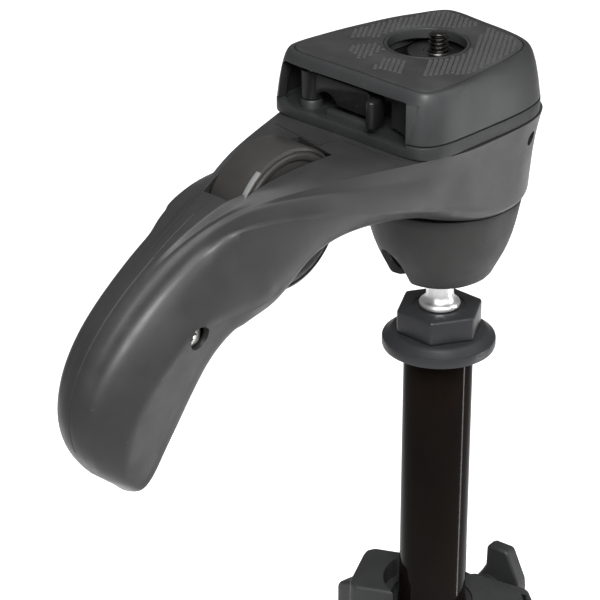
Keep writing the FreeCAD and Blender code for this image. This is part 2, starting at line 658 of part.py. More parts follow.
def shoulder():
    hub = cylinder(HUB_R, HUB_BOTTOM, LOBE_TOP)
    collar = cylinder(LIP_R + 1, LOBE_TOP - 1, BUSH_TOP)
    tower = turned(box(0, TOWER_REACH, -TOWER_HALF, TOWER_HALF, HUB_BOTTOM, TOWER_TOP), TOWER_ANGLE)
    tower = tower.cut(cylinder(LIP_R + 1, BUSH_TOP, 0))
    arms = [lobe(angle) for angle in LOBE_ANGLES]
    body = fuse_all([hub, collar, tower] + arms + [knob_line(7.5, 12, 25.5)])
    tools = [cylinder(BUSH_R + RUN, HUB_BOTTOM - 10, TOWER_TOP + 10), knob_line(3.3, 5, 40)]
    tools += [lobe_slot(angle) for angle in LOBE_ANGLES]
    tools += [pin_line(angle, LOBE_HALF - 0.6, PIN_R + 0.02) for angle in LOBE_ANGLES]
    return cut_all(body, tools).removeSplitter()


def column_bush():
    sleeve = tube(BUSH_R, COLUMN_R + RUN, HUB_BOTTOM, BUSH_TOP + 0.6)
    lip = tube(LIP_R, COLUMN_R + RUN, BUSH_TOP + 0.1, -COLUMN_RAISED)
    return fuse_all([sleeve, lip]).cut(knob_line(3.3, 5, 40)).removeSplitter()


def clamp_pad():
    pad = knob_line(3.22, 10, 16.6)
    return pad.cut(cylinder(COLUMN_R + 0.1, HUB_BOTTOM, BUSH_TOP))


def lock_knob():
    """Stud, round boss and an upright wing that leans to one side."""
    stud = knob_line(3.22, 17.4, 28)
    disc = knob_line(8.5, 25.9, 31).fuse(knob_line(6.5, 30, WING_START + 1))
    outline = [(1.5, 17.0), (-6.0, 18.0), (-7.2, 17.0), (-12.0, 7.0), (-11.5, 0.0), (-7.0, -6.0), (0.0, -8.0),
               (6.0, -5.0), (5.0, 5.0), (1.5, 9.0)]
    points = [V(WING_START, y, KNOB_Z + z) for y, z in outline]
    wing = Part.Face(Part.makePolygon(points + points[:1])).extrude(V(WING_END - WING_START, 0, 0))
    return fuse_all([stud, disc, turned(wing, KNOB_ANGLE)]).removeSplitter()


def hinge_pins():
    return Part.makeCompound([pin_line(angle, LOBE_HALF - 0.8, PIN_R) for angle in LOBE_ANGLES])


# ---- legs ---------------------------------------------------------------------------------
def leg_top():
    eye = cylinder_along(TONGUE_R, V(0, -TONGUE_HALF, 0), V(0, TONGUE_HALF, 0))
    tongue = box(-TONGUE_R, TONGUE_R, -TONGUE_HALF, TONGUE_HALF, -22, 0)
    barrel = cylinder(TUBE_R[0] + 1.9, -45, -19.5)
    crown = Part.makeCone(TUBE_R[0] + 1.9, 8.5, 3.0, V(0, 0, -19.5))
    body = fuse_all([eye, tongue, barrel, crown])
    return cut_all(body, [cylinder(TUBE_R[0] + 0.02, -60, TUBE_TOP[0]),
                          cylinder_along(PIN_R + RUN, V(0, -10, 0), V(0, 10, 0))])


def leg_tube(section):
    radius = TUBE_R[section]
    return tube(radius, radius - TUBE_WALL, TUBE_END[section], TUBE_TOP[section] - 0.05)


def leg_collar(section):
    """Clamp collar on the lower end of a tube, with the two lugs and pin of its lever."""
    outer = TUBE_R[section] + COLLAR_WALL
    top = COLLAR_TOP[section]
    end = COLLAR_END[section]
    ring = cylinder(outer, end, top)
    seat = cylinder(TUBE_R[section] + 0.02, TUBE_END[section] - 0.05, top + 1)
    throat = cylinder(TUBE_R[section + 1] + 0.06, end - 1, top)
    pivot = outer + 2.6
    middle = (top + end) / 2
    lever_low = middle - LEVER_HEIGHT / 2 - GAP
    lever_high = middle + LEVER_HEIGHT / 2 + GAP
    lugs = []
    for low, high in ((lever_low - 3, lever_low), (lever_high, lever_high + 3)):
        lug = cylinder(2.4, low, high, pivot, 0).fuse(box(outer - 1.5, pivot, -2.4, 2.4, low, high))
        lugs.append(lug)
    pin = cylinder(1.1, lever_low - 1, lever_high + 1, pivot, 0)
    body = fuse_all([ring] + lugs + [pin])
    return cut_all(body, [seat, throat]).removeSplitter()


def leg_lever(section):
    """Flip lever that wraps round its collar from the pivot."""
    outer = TUBE_R[section] + COLLAR_WALL
    pivot = outer + 2.6
    middle = (COLLAR_TOP[section] + COLLAR_END[section]) / 2
    low = middle - LEVER_HEIGHT / 2
    high = middle + LEVER_HEIGHT / 2
    band = tube(outer + GAP + LEVER_THICK, outer + GAP, low, high)
    sector = [(0, 0)] + [(60 * math.cos(math.radians(a)), 60 * math.sin(math.radians(a)))
                         for a in (4, 30, 60, 90, LEVER_ARC)]
    arm = band.common(prism(sector, low, high))
    eye = cylinder(2.3, low, high, pivot, 0)
    return fuse_all([arm, eye]).cut(cylinder(1.1 + RUN, low - 1, high + 1, pivot, 0))


def leg_foot():
    body = cylinder(FOOT_R, FOOT_CENTRE, FOOT_TOP).fuse(Part.makeSphere(FOOT_R, V(0, 0, FOOT_CENTRE)))
    return body.cut(cylinder(TUBE_R[2] + 0.02, TUBE_END[2] - 0.05, FOOT_TOP + 1)).removeSplitter()


def placed_on_leg(shape, angle):
    """Spread a leg piece outwards and turn it to its lobe."""
    piece = turned(shape, -SPREAD, V(0, 0, 0), V(0, 1, 0))
    piece = moved(piece, HINGE_R, 0, HINGE_HEIGHT)
    return turned(piece, angle)


# ---- assembly -----------------------------------------------------------------------------
def head_pieces():
    left, right, spine = body_parts()
    return {
        "plate_shell": plate_shell(), "plate_pad": plate_pad(), "screw_carrier": screw_carrier(),
        "camera_screw": camera_screw(), "screw_clip": screw_clip(), "plate_base": plate_base(),
        "base_screws": base_screws(), "release_lever": release_lever(), "lever_pin": lever_pin(),
        "body_left_shell": left, "body_right_shell": right, "spine_cover": spine,
        "shell_screws": shell_screws(), "lock_wheel": lock_wheel(), "wheel_index": index_solid(),
        "wheel_axle": wheel_axle(), "brake_rod": brake_rod(), "brake_shoe": brake_shoe(),
        "ball_socket": ball_socket(), "ball_liner": ball_liner(), "ball": ball(), "stem": stem(),
        "selector_cup": selector_cup(), "cup_ring": cup_ring(), "hex_boss": hex_boss(),
        "top_flange": top_flange(), "column_tube": column_tube(), "column_end_cap": column_end_cap(),
        "shoulder": shoulder(), "column_bush": column_bush(), "clamp_pad": clamp_pad(),
        "lock_knob": lock_knob(), "hinge_pins": hinge_pins(),
    }


def leg_pieces():
    shapes = {"top": leg_top(), "foot": leg_foot()}
    for section in range(3):
        shapes["tube_%d" % (section + 1)] = leg_tube(section)
    for section in range(2):
        shapes["collar_%d" % (section + 1)] = leg_collar(section)
        shapes["lever_%d" % (section + 1)] = leg_lever(section)
    return shapes


def main():
    os.makedirs("parts", exist_ok=True)
    pieces = {name: moved(shape, 0, 0, HEAD_Z) for name, shape in head_pieces().items()}
    leg = leg_pieces()
    for number, angle in enumerate(LOBE_ANGLES, 1):
        for name, shape in leg.items():
            pieces["leg_%d_%s" % (number, name)] = placed_on_leg(shape, angle)
    for name, shape in pieces.items():
        shape.exportStep("parts/%s.step" % name)


main()
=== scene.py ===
"""Looks of the tripod with a joystick grip head: better meshes, materials, light and camera."""
import json
import math
import bmesh
import bpy
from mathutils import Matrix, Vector
from mathutils.bvhtree import BVHTree


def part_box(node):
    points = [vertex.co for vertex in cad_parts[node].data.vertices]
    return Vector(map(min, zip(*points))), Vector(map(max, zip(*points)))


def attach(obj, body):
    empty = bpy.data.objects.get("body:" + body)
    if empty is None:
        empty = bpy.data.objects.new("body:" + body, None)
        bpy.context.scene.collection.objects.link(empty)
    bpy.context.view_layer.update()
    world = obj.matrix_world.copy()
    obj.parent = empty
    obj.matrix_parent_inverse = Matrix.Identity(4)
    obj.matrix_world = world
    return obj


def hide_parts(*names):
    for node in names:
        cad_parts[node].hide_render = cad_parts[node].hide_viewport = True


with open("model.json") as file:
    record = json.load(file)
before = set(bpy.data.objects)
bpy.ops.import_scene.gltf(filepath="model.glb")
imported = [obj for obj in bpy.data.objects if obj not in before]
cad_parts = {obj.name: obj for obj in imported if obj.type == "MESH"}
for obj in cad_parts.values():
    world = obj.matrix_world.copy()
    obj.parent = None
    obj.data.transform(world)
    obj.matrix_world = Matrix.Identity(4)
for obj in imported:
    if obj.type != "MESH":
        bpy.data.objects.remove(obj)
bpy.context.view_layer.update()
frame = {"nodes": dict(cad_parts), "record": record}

MM = 0.001
HEAD_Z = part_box("top_flange")[0].z          # height of the head's own z = 0, metres
NODES = frame["nodes"]


# ---- places -------------------------------------------------------------------------------
def head(x, y, z):
    """A point of the head's own frame, in millimetres, as a point of the row frame."""
    return Vector((x * MM, y * MM, z * MM + HEAD_Z))


def circle(count, radius=1.0, start=0.0):
    steps = [start + 2 * math.pi * k / count for k in range(count)]
    return [(radius * math.cos(a), radius * math.sin(a)) for a in steps]


# ---- mesh helpers -------------------------------------------------------------------------
def mesh_object(name, points, faces, smooth=True):
    """A new object from points in metres; closed faces are turned outwards."""
    mesh = bpy.data.meshes.new(name)
    mesh.from_pydata([tuple(p) for p in points], [], faces)
    build = bmesh.new()
    build.from_mesh(mesh)
    bmesh.ops.remove_doubles(build, verts=build.verts, dist=1e-7)
    bmesh.ops.recalc_face_normals(build, faces=build.faces)
    for face in build.faces:
        face.smooth = smooth
    build.to_mesh(mesh)
    build.free()
    piece = bpy.data.objects.new(name, mesh)
    bpy.context.scene.collection.objects.link(piece)
    return piece


def rings_object(name, rings, loop=False, place=head):
    """Closed rings of (x, y, z) points joined in order; the ends are capped unless they loop."""
    count = len(rings[0])
    points = [place(*p) for ring in rings for p in ring]
    faces = []
    pairs = list(zip(range(len(rings) - 1), range(1, len(rings))))
    if loop:
        pairs.append((len(rings) - 1, 0))
    for a, b in pairs:
        for k in range(count):
            n = (k + 1) % count
            faces.append((a * count + k, a * count + n, b * count + n, b * count + k))
    if not loop:
        faces.append(tuple(range(count))[::-1])
        faces.append(tuple((len(rings) - 1) * count + k for k in range(count)))
    return mesh_object(name, points, faces)


def lathe(name, profile, segments=96, place=head, axis="Z", centre=(0, 0, 0), loop=False):
    """Turn a (radius, height) profile about an axis through the centre, in millimetres."""
    rings = []
    for radius, height in profile:
        ring = []
        for a, b in circle(segments, max(radius, 1e-4)):
            if axis == "Z":
                ring.append((centre[0] + a, centre[1] + b, centre[2] + height))
            else:
                ring.append((centre[0] + height, centre[1] + a, centre[2] + b))
        rings.append(ring)
    return rings_object(name, rings, loop, place)


def prism(name, outline, bottom, top, place=head):
    """Extrude an (x, y) outline from one height to another."""
    return rings_object(name, [[(x, y, z) for x, y in outline] for z in (bottom, top)], place=place)


def side_prism(name, outline, left, right):
    """Extrude a (y, z) outline along X."""
    return rings_object(name, [[(x, y, z) for y, z in outline] for x in (left, right)])


def apply_modifiers(piece):
    bpy.context.view_layer.update()
    graph = bpy.context.evaluated_depsgraph_get()
    mesh = bpy.data.meshes.new_from_object(piece.evaluated_get(graph))
    piece.modifiers.clear()
    piece.data = mesh


def round_edges(piece, width, segments=3, angle=32):
    """Round the sharp edges by a width in millimetres."""
    bevel = piece.modifiers.new("round", "BEVEL")
    bevel.width = width * MM
    bevel.segments = segments
    bevel.limit_method = "ANGLE"
    bevel.angle_limit = math.radians(angle)
    bevel.miter_outer = "MITER_ARC"
    apply_modifiers(piece)


def shade(piece, angle):
    """Smooth shading that keeps edges sharper than the angle."""
    mesh = piece.data
    mesh.shade_smooth()
    mesh.set_sharp_from_angle(angle=math.radians(angle))


def combine(piece, tools, operation):
    for tool in tools:
        change = piece.modifiers.new("cut", "BOOLEAN")
        change.operation = operation
        change.solver = "EXACT"
        change.object = tool
        apply_modifiers(piece)
        bpy.data.objects.remove(tool)
    return piece


def cut(piece, *tools):
    return combine(piece, tools, "DIFFERENCE")


def unite(piece, *tools):
    return combine(piece, tools, "UNION")


def subdivide(piece, levels):
    surface = piece.modifiers.new("surface", "SUBSURF")
    surface.levels = levels
    surface.render_levels = levels
    apply_modifiers(piece)


def dress(piece, body, slot):
    """Let a piece ride on a body and wear its slot's material."""
    piece.data.materials.clear()
    piece.data.materials.append(MATERIALS[slot])
    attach(piece, body)


def place_piece(piece, node, body, slot, angle):
    """Let a piece take the place of a CAD node, which is hidden, and wear its slot's material; edges past the
    angle stay sharp.
    """
    shade(piece, angle)
    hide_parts(node)
    dress(piece, body, slot)


# ---- materials ----------------------------------------------------------------------------
class Paint:
    """A material, its shader, and short ways to add nodes."""

    def __init__(self, name):
        self.material = bpy.data.materials.new(name)
        self.material.use_nodes = True
        self.nodes = self.material.node_tree.nodes
        self.link = self.material.node_tree.links.new
        self.inputs = self.nodes["Principled BSDF"].inputs
        self.where = self.nodes.new("ShaderNodeTexCoord").outputs["Object"]

    def add(self, kind, **values):
        """A node with its named inputs set; an underscore stands for a space."""
        node = self.nodes.new("ShaderNode" + kind)
        for name, value in values.items():
            node.inputs[name.replace("_", " ")].default_value = value
        return node

    def noise(self, scale, detail=3.0, rough=0.55, where=None):
        texture = self.add("TexNoise", Scale=scale, Detail=detail, Roughness=rough)
        self.link(where or self.where, texture.inputs["Vector"])
        return texture.outputs["Fac"]

    def stretched(self, scale, detail):
        """Noise drawn out by a different scale along each axis."""
        stretch = self.add("Mapping", Scale=scale)
        self.link(self.where, stretch.inputs["Vector"])
        return self.noise(1.0, detail, where=stretch.outputs["Vector"])

    def spread(self, value, low, high, to_low, to_high):
        change = self.add("MapRange", From_Min=low, From_Max=high, To_Min=to_low, To_Max=to_high)
        self.link(value, change.inputs["Value"])
        return change.outputs["Result"]

    def mixed(self, share, first, second):
        """Mix two colours by a share; each is a colour or a socket."""
        mix = self.nodes.new("ShaderNodeMix")
        mix.data_type = "RGBA"
        self.link(share, mix.inputs["Factor"])
        for name, value in (("A", first), ("B", second)):
            socket = [s for s in mix.inputs if s.name == name and s.type == "RGBA"][0]
            if isinstance(value, tuple):
                socket.default_value = value + (1.0,)
            else:
                self.link(value, socket)
        return [s for s in mix.outputs if s.type == "RGBA"][0]

    def feed(self, socket, name):
        self.link(socket, self.inputs[name])

    def roughen(self, value, low, high):
        self.feed(self.spread(value, 0.3, 0.7, low, high), "Roughness")

    def bumped(self, *heights):
        """Chain (height socket, strength, depth in metres) bumps into the shader's normal."""
        previous = None
        for height, strength, depth in heights:
            bump = self.add("Bump", Strength=strength, Distance=depth)
            self.link(height, bump.inputs["Height"])
            if previous is not None:
                self.link(previous, bump.inputs["Normal"])
            previous = bump.outputs["Normal"]
        self.feed(previous, "Normal")


def plastic(name, colour, rough=0.45, grain=0.30, mottle=0.12, dust=0.03):
    """Moulded plastic: fine spark-eroded grain, soft mottling, faint rub marks and dust."""
    paint = Paint(name)
    dark = tuple(c * (1 - mottle) for c in colour)
    light = tuple(min(1.0, c * (1 + mottle)) for c in colour)
    body = paint.mixed(paint.spread(paint.noise(55.0, 4.0), 0.35, 0.65, 0, 1), dark, light)
    specks = paint.spread(paint.noise(900.0, 2.0), 0.74, 0.80, 0, dust * 8)
    dusty = tuple(min(1.0, c + 0.16) for c in colour)
    paint.feed(paint.mixed(specks, body, dusty), "Base Color")
    paint.roughen(paint.noise(140.0, 5.0, 0.65), rough - 0.06, rough + 0.08)
    fine = paint.noise(3400.0, 2.0)
    broad = paint.noise(260.0, 2.0)
    paint.bumped((broad, 0.12, 0.0001), (fine, grain, 0.00005))
    paint.inputs["Specular IOR Level"].default_value = 0.27
    return paint.material


def rubber(name, colour, rough=0.78):
    """Matte rubber with a faint bloom and fine pores."""
    paint = Paint(name)
    cloud = paint.noise(90.0, 5.0)
    bloom = tuple(min(1.0, c * 1.5 + 0.012) for c in colour)
    paint.feed(paint.mixed(paint.spread(cloud, 0.4, 0.75, 0, 0.7), colour, bloom), "Base Color")
    paint.roughen(cloud, rough - 0.06, rough + 0.08)
    paint.bumped((paint.noise(2600.0, 3.0), 0.35, 0.00006))
    paint.inputs["Specular IOR Level"].default_value = 0.35
    return paint.material


def metal(name, colour, rough=0.25, turned=False, streak=0.06):
    """Bare metal, with faint turning rings round Z or a drawn finish."""
    paint = Paint(name)
    paint.inputs["Metallic"].default_value = 1.0
    darker = tuple(c * 0.86 for c in colour)
    paint.feed(paint.mixed(paint.spread(paint.noise(120.0, 4.0), 0.35, 0.7, 0, 1), colour, darker),
               "Base Color")
    lines = paint.stretched((40, 40, 4200) if turned else (1500, 1500, 30), 2.0)
    paint.roughen(lines, rough - streak, rough + streak)
    paint.bumped((lines, 0.18, 0.00003))
    return paint.material


def anodised(name, colour, rough=0.16, gloss=0.06):
    """Black anodised tube: deep gloss with a fine drawn texture along its length."""
    paint = Paint(name)
    warmer = (colour[0] * 1.5, colour[1] * 1.2, colour[2] * 1.05)
    paint.feed(paint.mixed(paint.spread(paint.noise(30.0, 4.0), 0.4, 0.7, 0, 1), colour, warmer),
               "Base Color")
    drawn = paint.stretched((1800, 1800, 24), 3.0)
    paint.roughen(drawn, rough - 0.03, rough + 0.05)
    paint.bumped((drawn, 0.05, 0.00002))
    paint.inputs["Specular IOR Level"].default_value = gloss
    return paint.material


# Colour, roughness, then grain, mottle and dust where they differ from the usual.
PLASTICS = {
    "plate_plastic": ((0.0187, 0.0192, 0.0197), 0.42, 0.34),
    "tray_plastic": ((0.014, 0.0146, 0.0146), 0.50, 0.30),
    "lever_black": ((0.0081, 0.0081, 0.0086), 0.26, 0.08, 0.1, 0.02),
    "body_plastic": ((0.0187, 0.0187, 0.0194), 0.40, 0.30),
    "wheel_plastic": ((0.0197, 0.0187, 0.0178), 0.38, 0.20),
    "index_grey": ((0.10, 0.102, 0.102), 0.40, 0.2, 0.06, 0.0),
    "nylon": ((0.62, 0.60, 0.55), 0.45, 0.15, 0.05, 0.0),
    "cup_plastic": ((0.0159, 0.0159, 0.0155), 0.56, 0.28),
    "boss_plastic": ((0.0169, 0.0173, 0.0187), 0.40, 0.24),
    "cap_plastic": ((0.014, 0.014, 0.014), 0.5, 0.3),
    "shoulder_plastic": ((0.0206, 0.0211, 0.0211), 0.50, 0.36),
    "bush_plastic": ((0.0131, 0.0131, 0.0131), 0.4, 0.2),
    "knob_plastic": ((0.0171, 0.0175, 0.018), 0.46, 0.3),
    "collar_plastic": ((0.0169, 0.0169, 0.0173), 0.42, 0.3),
    "flip_plastic": ((0.0234, 0.0234, 0.0238), 0.38, 0.25),
}
RUBBERS = {
    "pad_rubber": ((0.0135, 0.0135, 0.014), 0.70),
    "foot_rubber": ((0.0099, 0.0099, 0.0099), 0.82),
}
# Colour, roughness, whether turned, streak.
METALS = {
    "black_metal": ((0.12, 0.12, 0.118), 0.30, True),
    "screw_black": ((0.07, 0.065, 0.06), 0.26, True, 0.05),
    "bright_steel": ((0.66, 0.65, 0.63), 0.22),
    "brake_metal": ((0.55, 0.55, 0.56), 0.32, False),
    "socket_metal": ((0.45, 0.45, 0.46), 0.42, True),
    "bright_aluminium": ((0.95, 0.95, 0.95), 0.36, True),
}
# Colour, roughness, gloss.
ANODISED = {
    "column_black": ((0.0035, 0.0028, 0.0024), 0.09),
    "leg_black": ((0.006, 0.0055, 0.005), 0.24, 0.2),
}


def make_materials():
    made = {}
    for maker, rows in ((plastic, PLASTICS), (rubber, RUBBERS), (metal, METALS), (anodised, ANODISED)):
        for name, values in rows.items():
            made[name] = maker(name, *values)
    return made


def dress_nodes(materials):
    """Give every CAD node that stays its slot's material."""
    slots = {part["node"]: part["material_slot"] for part in frame["record"]["subparts"]}
    for name, node in NODES.items():
        for k in range(len(node.material_slots)):
            node.material_slots[k].material = materials[slots[name]]
        if not node.material_slots:
            node.data.materials.append(materials[slots[name]])


MATERIALS = make_materials()


# ---- plate and tray -----------------------------------------------------------------------
PLATE_BOTTOM = 88.5
ROOF_UNDER = 100.4
OPENING_R = 11.9
OPENING_Y = -9.0
SCREW_Y = -3.7
PLATE_CENTRE = (0.0, -11.5)
LEVER_PIN = (-19.5, -38.0, 0)
OUTLINE_STEPS = 174
# Outlines (x, y) of the plate point for point, at its base and at the top edge of its sides.
BASE_OUTLINE = (
    (0, -44.6), (13, -44.7), (22.5, -44.3), (27.6, -42.6), (30.2, -39), (31.3, -34), (31.7, -26),
    (31.8, -16), (31.8, -8), (31.3, 0), (29.7, 7), (26, 12.9), (20.8, 17.1), (12, 19.9), (0, 21.2),
    (-10, 21.6), (-17, 19.9), (-21.4, 15.6), (-24.9, 11), (-27.7, 4.6), (-29.4, -2.3), (-30.7, -12),
    (-31.3, -18), (-31.8, -26), (-32, -34), (-31.2, -39.6), (-28.8, -42.9), (-24, -44.5), (-13, -44.8))
TOP_OUTLINE = (
    (0, -41.4), (12.5, -41.6), (21.5, -41.3), (25.9, -39.9), (27.9, -36.6), (28.6, -32), (28.9, -25),
    (28.2, -15.4), (27.5, -8), (26.6, -0.5), (25.2, 6.2), (22.6, 11.1), (18.4, 13.9), (10.8, 15.9),
    (-1, 17.2), (-9.8, 18.2), (-14.4, 17.4), (-17.2, 13.6), (-19.2, 9), (-21.6, 3.4), (-23.6, -3),
    (-25.9, -12.6), (-27, -18), (-28.2, -25.8), (-29, -33), (-28.6, -37.6), (-26.2, -40.4), (-21.5, -41.5),
    (-12, -41.6))


def smooth_loop(points):
    """Six points to a side of a smooth closed curve through the given ones."""
    dense = []
    total = len(points)
    for k in range(total):
        p0, p1, p2, p3 = (points[(k + s) % total] for s in (-1, 0, 1, 2))
        for step in range(OUTLINE_STEPS // total):
            t = step * total / OUTLINE_STEPS
            dense.append(tuple(0.5 * (2 * b + (c - a) * t + (2 * a - 5 * b + 4 * c - d) * t * t
                                      + (3 * b - a - 3 * c + d) * t ** 3)
                               for a, b, c, d in zip(p0, p1, p2, p3)))
    return dense


BASE_LOOP = smooth_loop(BASE_OUTLINE)
TOP_LOOP = smooth_loop(TOP_OUTLINE)


def plate_ring(inset, z, share=0.0):
    """A share of the way from the base outline to the top one, drawn in by a margin."""
    ring = []
    for (x0, y0), (x1, y1) in zip(BASE_LOOP, TOP_LOOP):
        x = x0 + (x1 - x0) * share - PLATE_CENTRE[0]
        y = y0 + (y1 - y0) * share - PLATE_CENTRE[1]
        keep = 1 - inset / math.hypot(x, y)
        ring.append((x * keep + PLATE_CENTRE[0], y * keep + PLATE_CENTRE[1], z))
    return ring


def opening_ring(radius, z):
    """A ring of the round opening with the outline's count of points, matched by direction."""
    ring = []
    for x, y in TOP_LOOP:
        angle = math.atan2(y - OPENING_Y, x)
        ring.append((radius * math.cos(angle), OPENING_Y + radius * math.sin(angle), z))
    return ring


def rounded_slot(name, x0, x1, y0, y1, z0, z1, corner):
    """A cutter with round upper corners, seen along Y."""
    outline = [(x0, z0), (x1, z0)]
    for k in range(9):
        a = math.radians(90 * k / 8)
        outline.append((x1 - corner + corner * math.cos(a), z1 - corner + corner * math.sin(a)))
    for k in range(9):
        a = math.radians(90 + 90 * k / 8)
        outline.append((x0 + corner + corner * math.cos(a), z1 - corner + corner * math.sin(a)))
    rings = [[(x, y0, z) for x, z in outline], [(x, y1, z) for x, z in outline]]
    return rings_object(name, rings)


PLATE_SIDES = ((0.25, 88.5, 0), (0.0, 88.8, 0), (0, 90, 0.05), (0, 92, 0.12), (0, 94, 0.2), (0, 96, 0.3),
               (0, 98, 0.41), (0, 100, 0.56), (0, 101.5, 0.70), (0, 102.5, 0.84), (0, 103.0, 0.94))


def make_plate_shell():
    rings = [plate_ring(inset, z, share) for inset, z, share in PLATE_SIDES]
    rings += [plate_ring(inset, z, 1.0) for inset,
              z in ((0.05, 103.3), (0.5, 103.48), (1.2, 103.5), (1.55, 103.42),
                                                         (1.62, 103.25), (1.7, 102.75), (1.9, 102.7))]
    rings += [opening_ring(13.3, 102.7), opening_ring(12.75, 102.72), opening_ring(12.7, 103.6),
              opening_ring(12.5, 103.72), opening_ring(12.15, 103.7), opening_ring(OPENING_R, 103.5),
              opening_ring(OPENING_R, 100.7), opening_ring(OPENING_R + 0.3, ROOF_UNDER)]
    rings += [plate_ring(3.6, ROOF_UNDER, 0.6), plate_ring(2.9, 99.8, 0.55), plate_ring(2.6, 94.0, 0.2),
              plate_ring(2.6, PLATE_BOTTOM)]
    shell = rings_object("plate_shell_moulding", rings, loop=True)
    cut(shell, rounded_slot("rear", -28, 23, -60, -36.4, 80, 100.3, 2.6))
    scoop = [(11.5, -37.35), (13.5, -37.75), (15.5, -38.35), (17.5, -39.2), (19.3, -40.3), (21.0, -41.7),
             (22.2, -43.0),
             (23.0, -44.3)]
    jamb = prism("jamb", scoop + [(25.5, -42.5), (26.5, -38), (24, -35), (11.5, -35)], 88.55, 100.45)
    unite(shell, jamb)
    round_edges(shell, 0.35, 2, 40)
    shade(shell, 38)
    rails = [prism("rail",
                   [(s * 14.5 - 1.5, -24), (s * 14.5 + 1.5, -24), (s * 14.5 + 1.5, 7), (s * 14.5 - 1.5, 7)],
                   97.9, 100.5) for s in (-1, 1)]
    unite(shell, *rails)
    place_piece(shell, "plate_shell", "plate", "plate_plastic", 38)


RIB_PATCHES = (
    ((-26.5, -10.8), (-20.1, -21.9), (-13.5, -15.5), (-13.7, -11.1), (-13.1, -4.7), (1.6, 10.4), (-0.1, 16.7),
     (-12.9, 15.0), (-22.9, 1.8)),
    ((-14.9, -27.6), (-5.3, -32.6), (-5.3, -22.1), (-11.2, -19.5)),
    ((2.0, -35.6), (11.2, -32.9), (5.8, -23.5), (-0.6, -27.0)),
    ((16.5, -30.0), (26.1, -18.8), (24.1, 5.7), (14.8, 14.0), (4.8, 15.1), (10.2, 0.1), (13.6, -9.9),
     (10.2, -19.4)))
RIB_COLUMN = 1.5       # millimetres from one column of ribs to the next
RIB_STEP = 1.3
RIB_TURN = math.radians(33)      # direction of a column on the pad
RIB_CENTRE = (0.0, -11.5)


def inside(x, y, outline):
    """Whether a point lies inside a polygon."""
    crossed = False
    for (x0, y0), (x1, y1) in zip(outline, outline[1:] + outline[:1]):
        if (y0 > y) != (y1 > y) and x < x0 + (x1 - x0) * (y - y0) / (y1 - y0):
            crossed = not crossed
    return crossed


def has_rib(x, y):
    """Ribs fill four patches but keep off the opening and the pad's edge."""
    if math.hypot(x, y - OPENING_Y) < 13.9:
        return False
    if not inside(x, y, [(a, b) for a, b, _ in plate_ring(3.2, 0, 1.0)]):
        return False
    return any(inside(x, y, patch) for patch in RIB_PATCHES)


def pad_ribs():
    """Short raised ribs in slanted columns, every other column half a step on; each is a low roof."""
    points = []
    faces = []
    down = Vector((math.sin(RIB_TURN), -math.cos(RIB_TURN)))
    side = Vector((math.cos(RIB_TURN), math.sin(RIB_TURN)))
    shape = ((-0.64, -0.4, 0), (0.64, -0.4, 0), (0.64, 0.4, 0), (-0.64, 0.4, 0),
             (-0.4, -0.16, 0.45), (0.4, -0.16, 0.45), (0.4, 0.16, 0.45), (-0.4, 0.16, 0.45))
    for column in range(-24, 25):
        for step in range(-30, 31):
            spot = side * (column * RIB_COLUMN) + down * ((step + 0.5 * (column % 2)) * RIB_STEP)
            x, y = spot.x + RIB_CENTRE[0], spot.y + RIB_CENTRE[1]
            if not has_rib(x, y):
                continue
            base = len(points)
            for along, across, z in shape:
                p = side * along + down * across
                points.append(head(x + p.x, y + p.y, 103.6 + z))
            for face in ((0, 1, 5, 4), (1, 2, 6, 5), (2, 3, 7, 6), (3, 0, 4, 7), (4, 5, 6, 7), (3, 2, 1, 0)):
                faces.append(tuple(base + k for k in face))
    return mesh_object("pad_ribs", points, faces, smooth=False)


def make_pad():
    profile = [(2.05, 102.75), (2.0, 103.4), (2.1, 103.58), (2.35, 103.65)]
    rings = [plate_ring(inset, z, 1.0) for inset, z in profile]
    rings += [opening_ring(13.1, 103.65), opening_ring(12.92, 103.55), opening_ring(12.9, 102.75)]
    pad = rings_object("pad_sheet", rings, loop=True)
    place_piece(pad, "plate_pad", "plate", "pad_rubber", 40)
    ribs = pad_ribs()
    dress(ribs, "plate", "pad_rubber")


def make_screw():
    """Camera screw with a helical thread of 20 turns to the inch above its plain shank."""
    pitch = 25.4 / 20
    steps = 40
    start, end = 99.9, 105.35
    profile = [(2.45, 0.0), (3.08, 0.46), (3.08, 0.60), (2.45, 1.06)]
    points = []
    faces = []
    turns = int((end - start) / pitch * steps) + steps
    for k in range(turns):
        angle = 2 * math.pi * k / steps
        for radius, share in profile:
            z = start - pitch + pitch * k / steps + share * pitch / 1.27 * 0.98
            z = min(max(z, start), end)
            points.append(head(radius * math.cos(angle), SCREW_Y + radius * math.sin(angle), z))
    for k in range(turns - 1):
        for s in range(4):
            n = (s + 1) % 4
            faces.append((k * 4 + s, k * 4 + n, k * 4 + 4 + n, k * 4 + 4 + s))
    faces += [(0, 1, 2, 3), tuple((turns - 1) * 4 + s for s in (3, 2, 1, 0))]
    thread = mesh_object("camera_screw_thread", points, faces)
    shade(thread, 30)
    core_profile = [(0, 90.4), (7.1, 90.4), (7.5, 90.8), (7.5, 94.0), (7.1, 94.4), (2.6, 94.4), (2.6, 99.9),
                    (2.52, 99.95), (2.52, 105.0), (2.4, 105.4), (2.1, 105.59), (0, 105.59)]
    core = lathe("camera_screw_core", core_profile, 64, centre=(0, SCREW_Y, 0))
    slot_outline = [(-8, -0.7), (8, -0.7), (8, 0.7), (-8, 0.7)]
    cut(core, prism("coin", [(x, y + SCREW_Y) for x, y in slot_outline], 90, 91.4))
    round_edges(core, 0.12, 2, 40)
    place_piece(core, "camera_screw", "screw", "screw_black", 35)
    dress(thread, "screw", "screw_black")


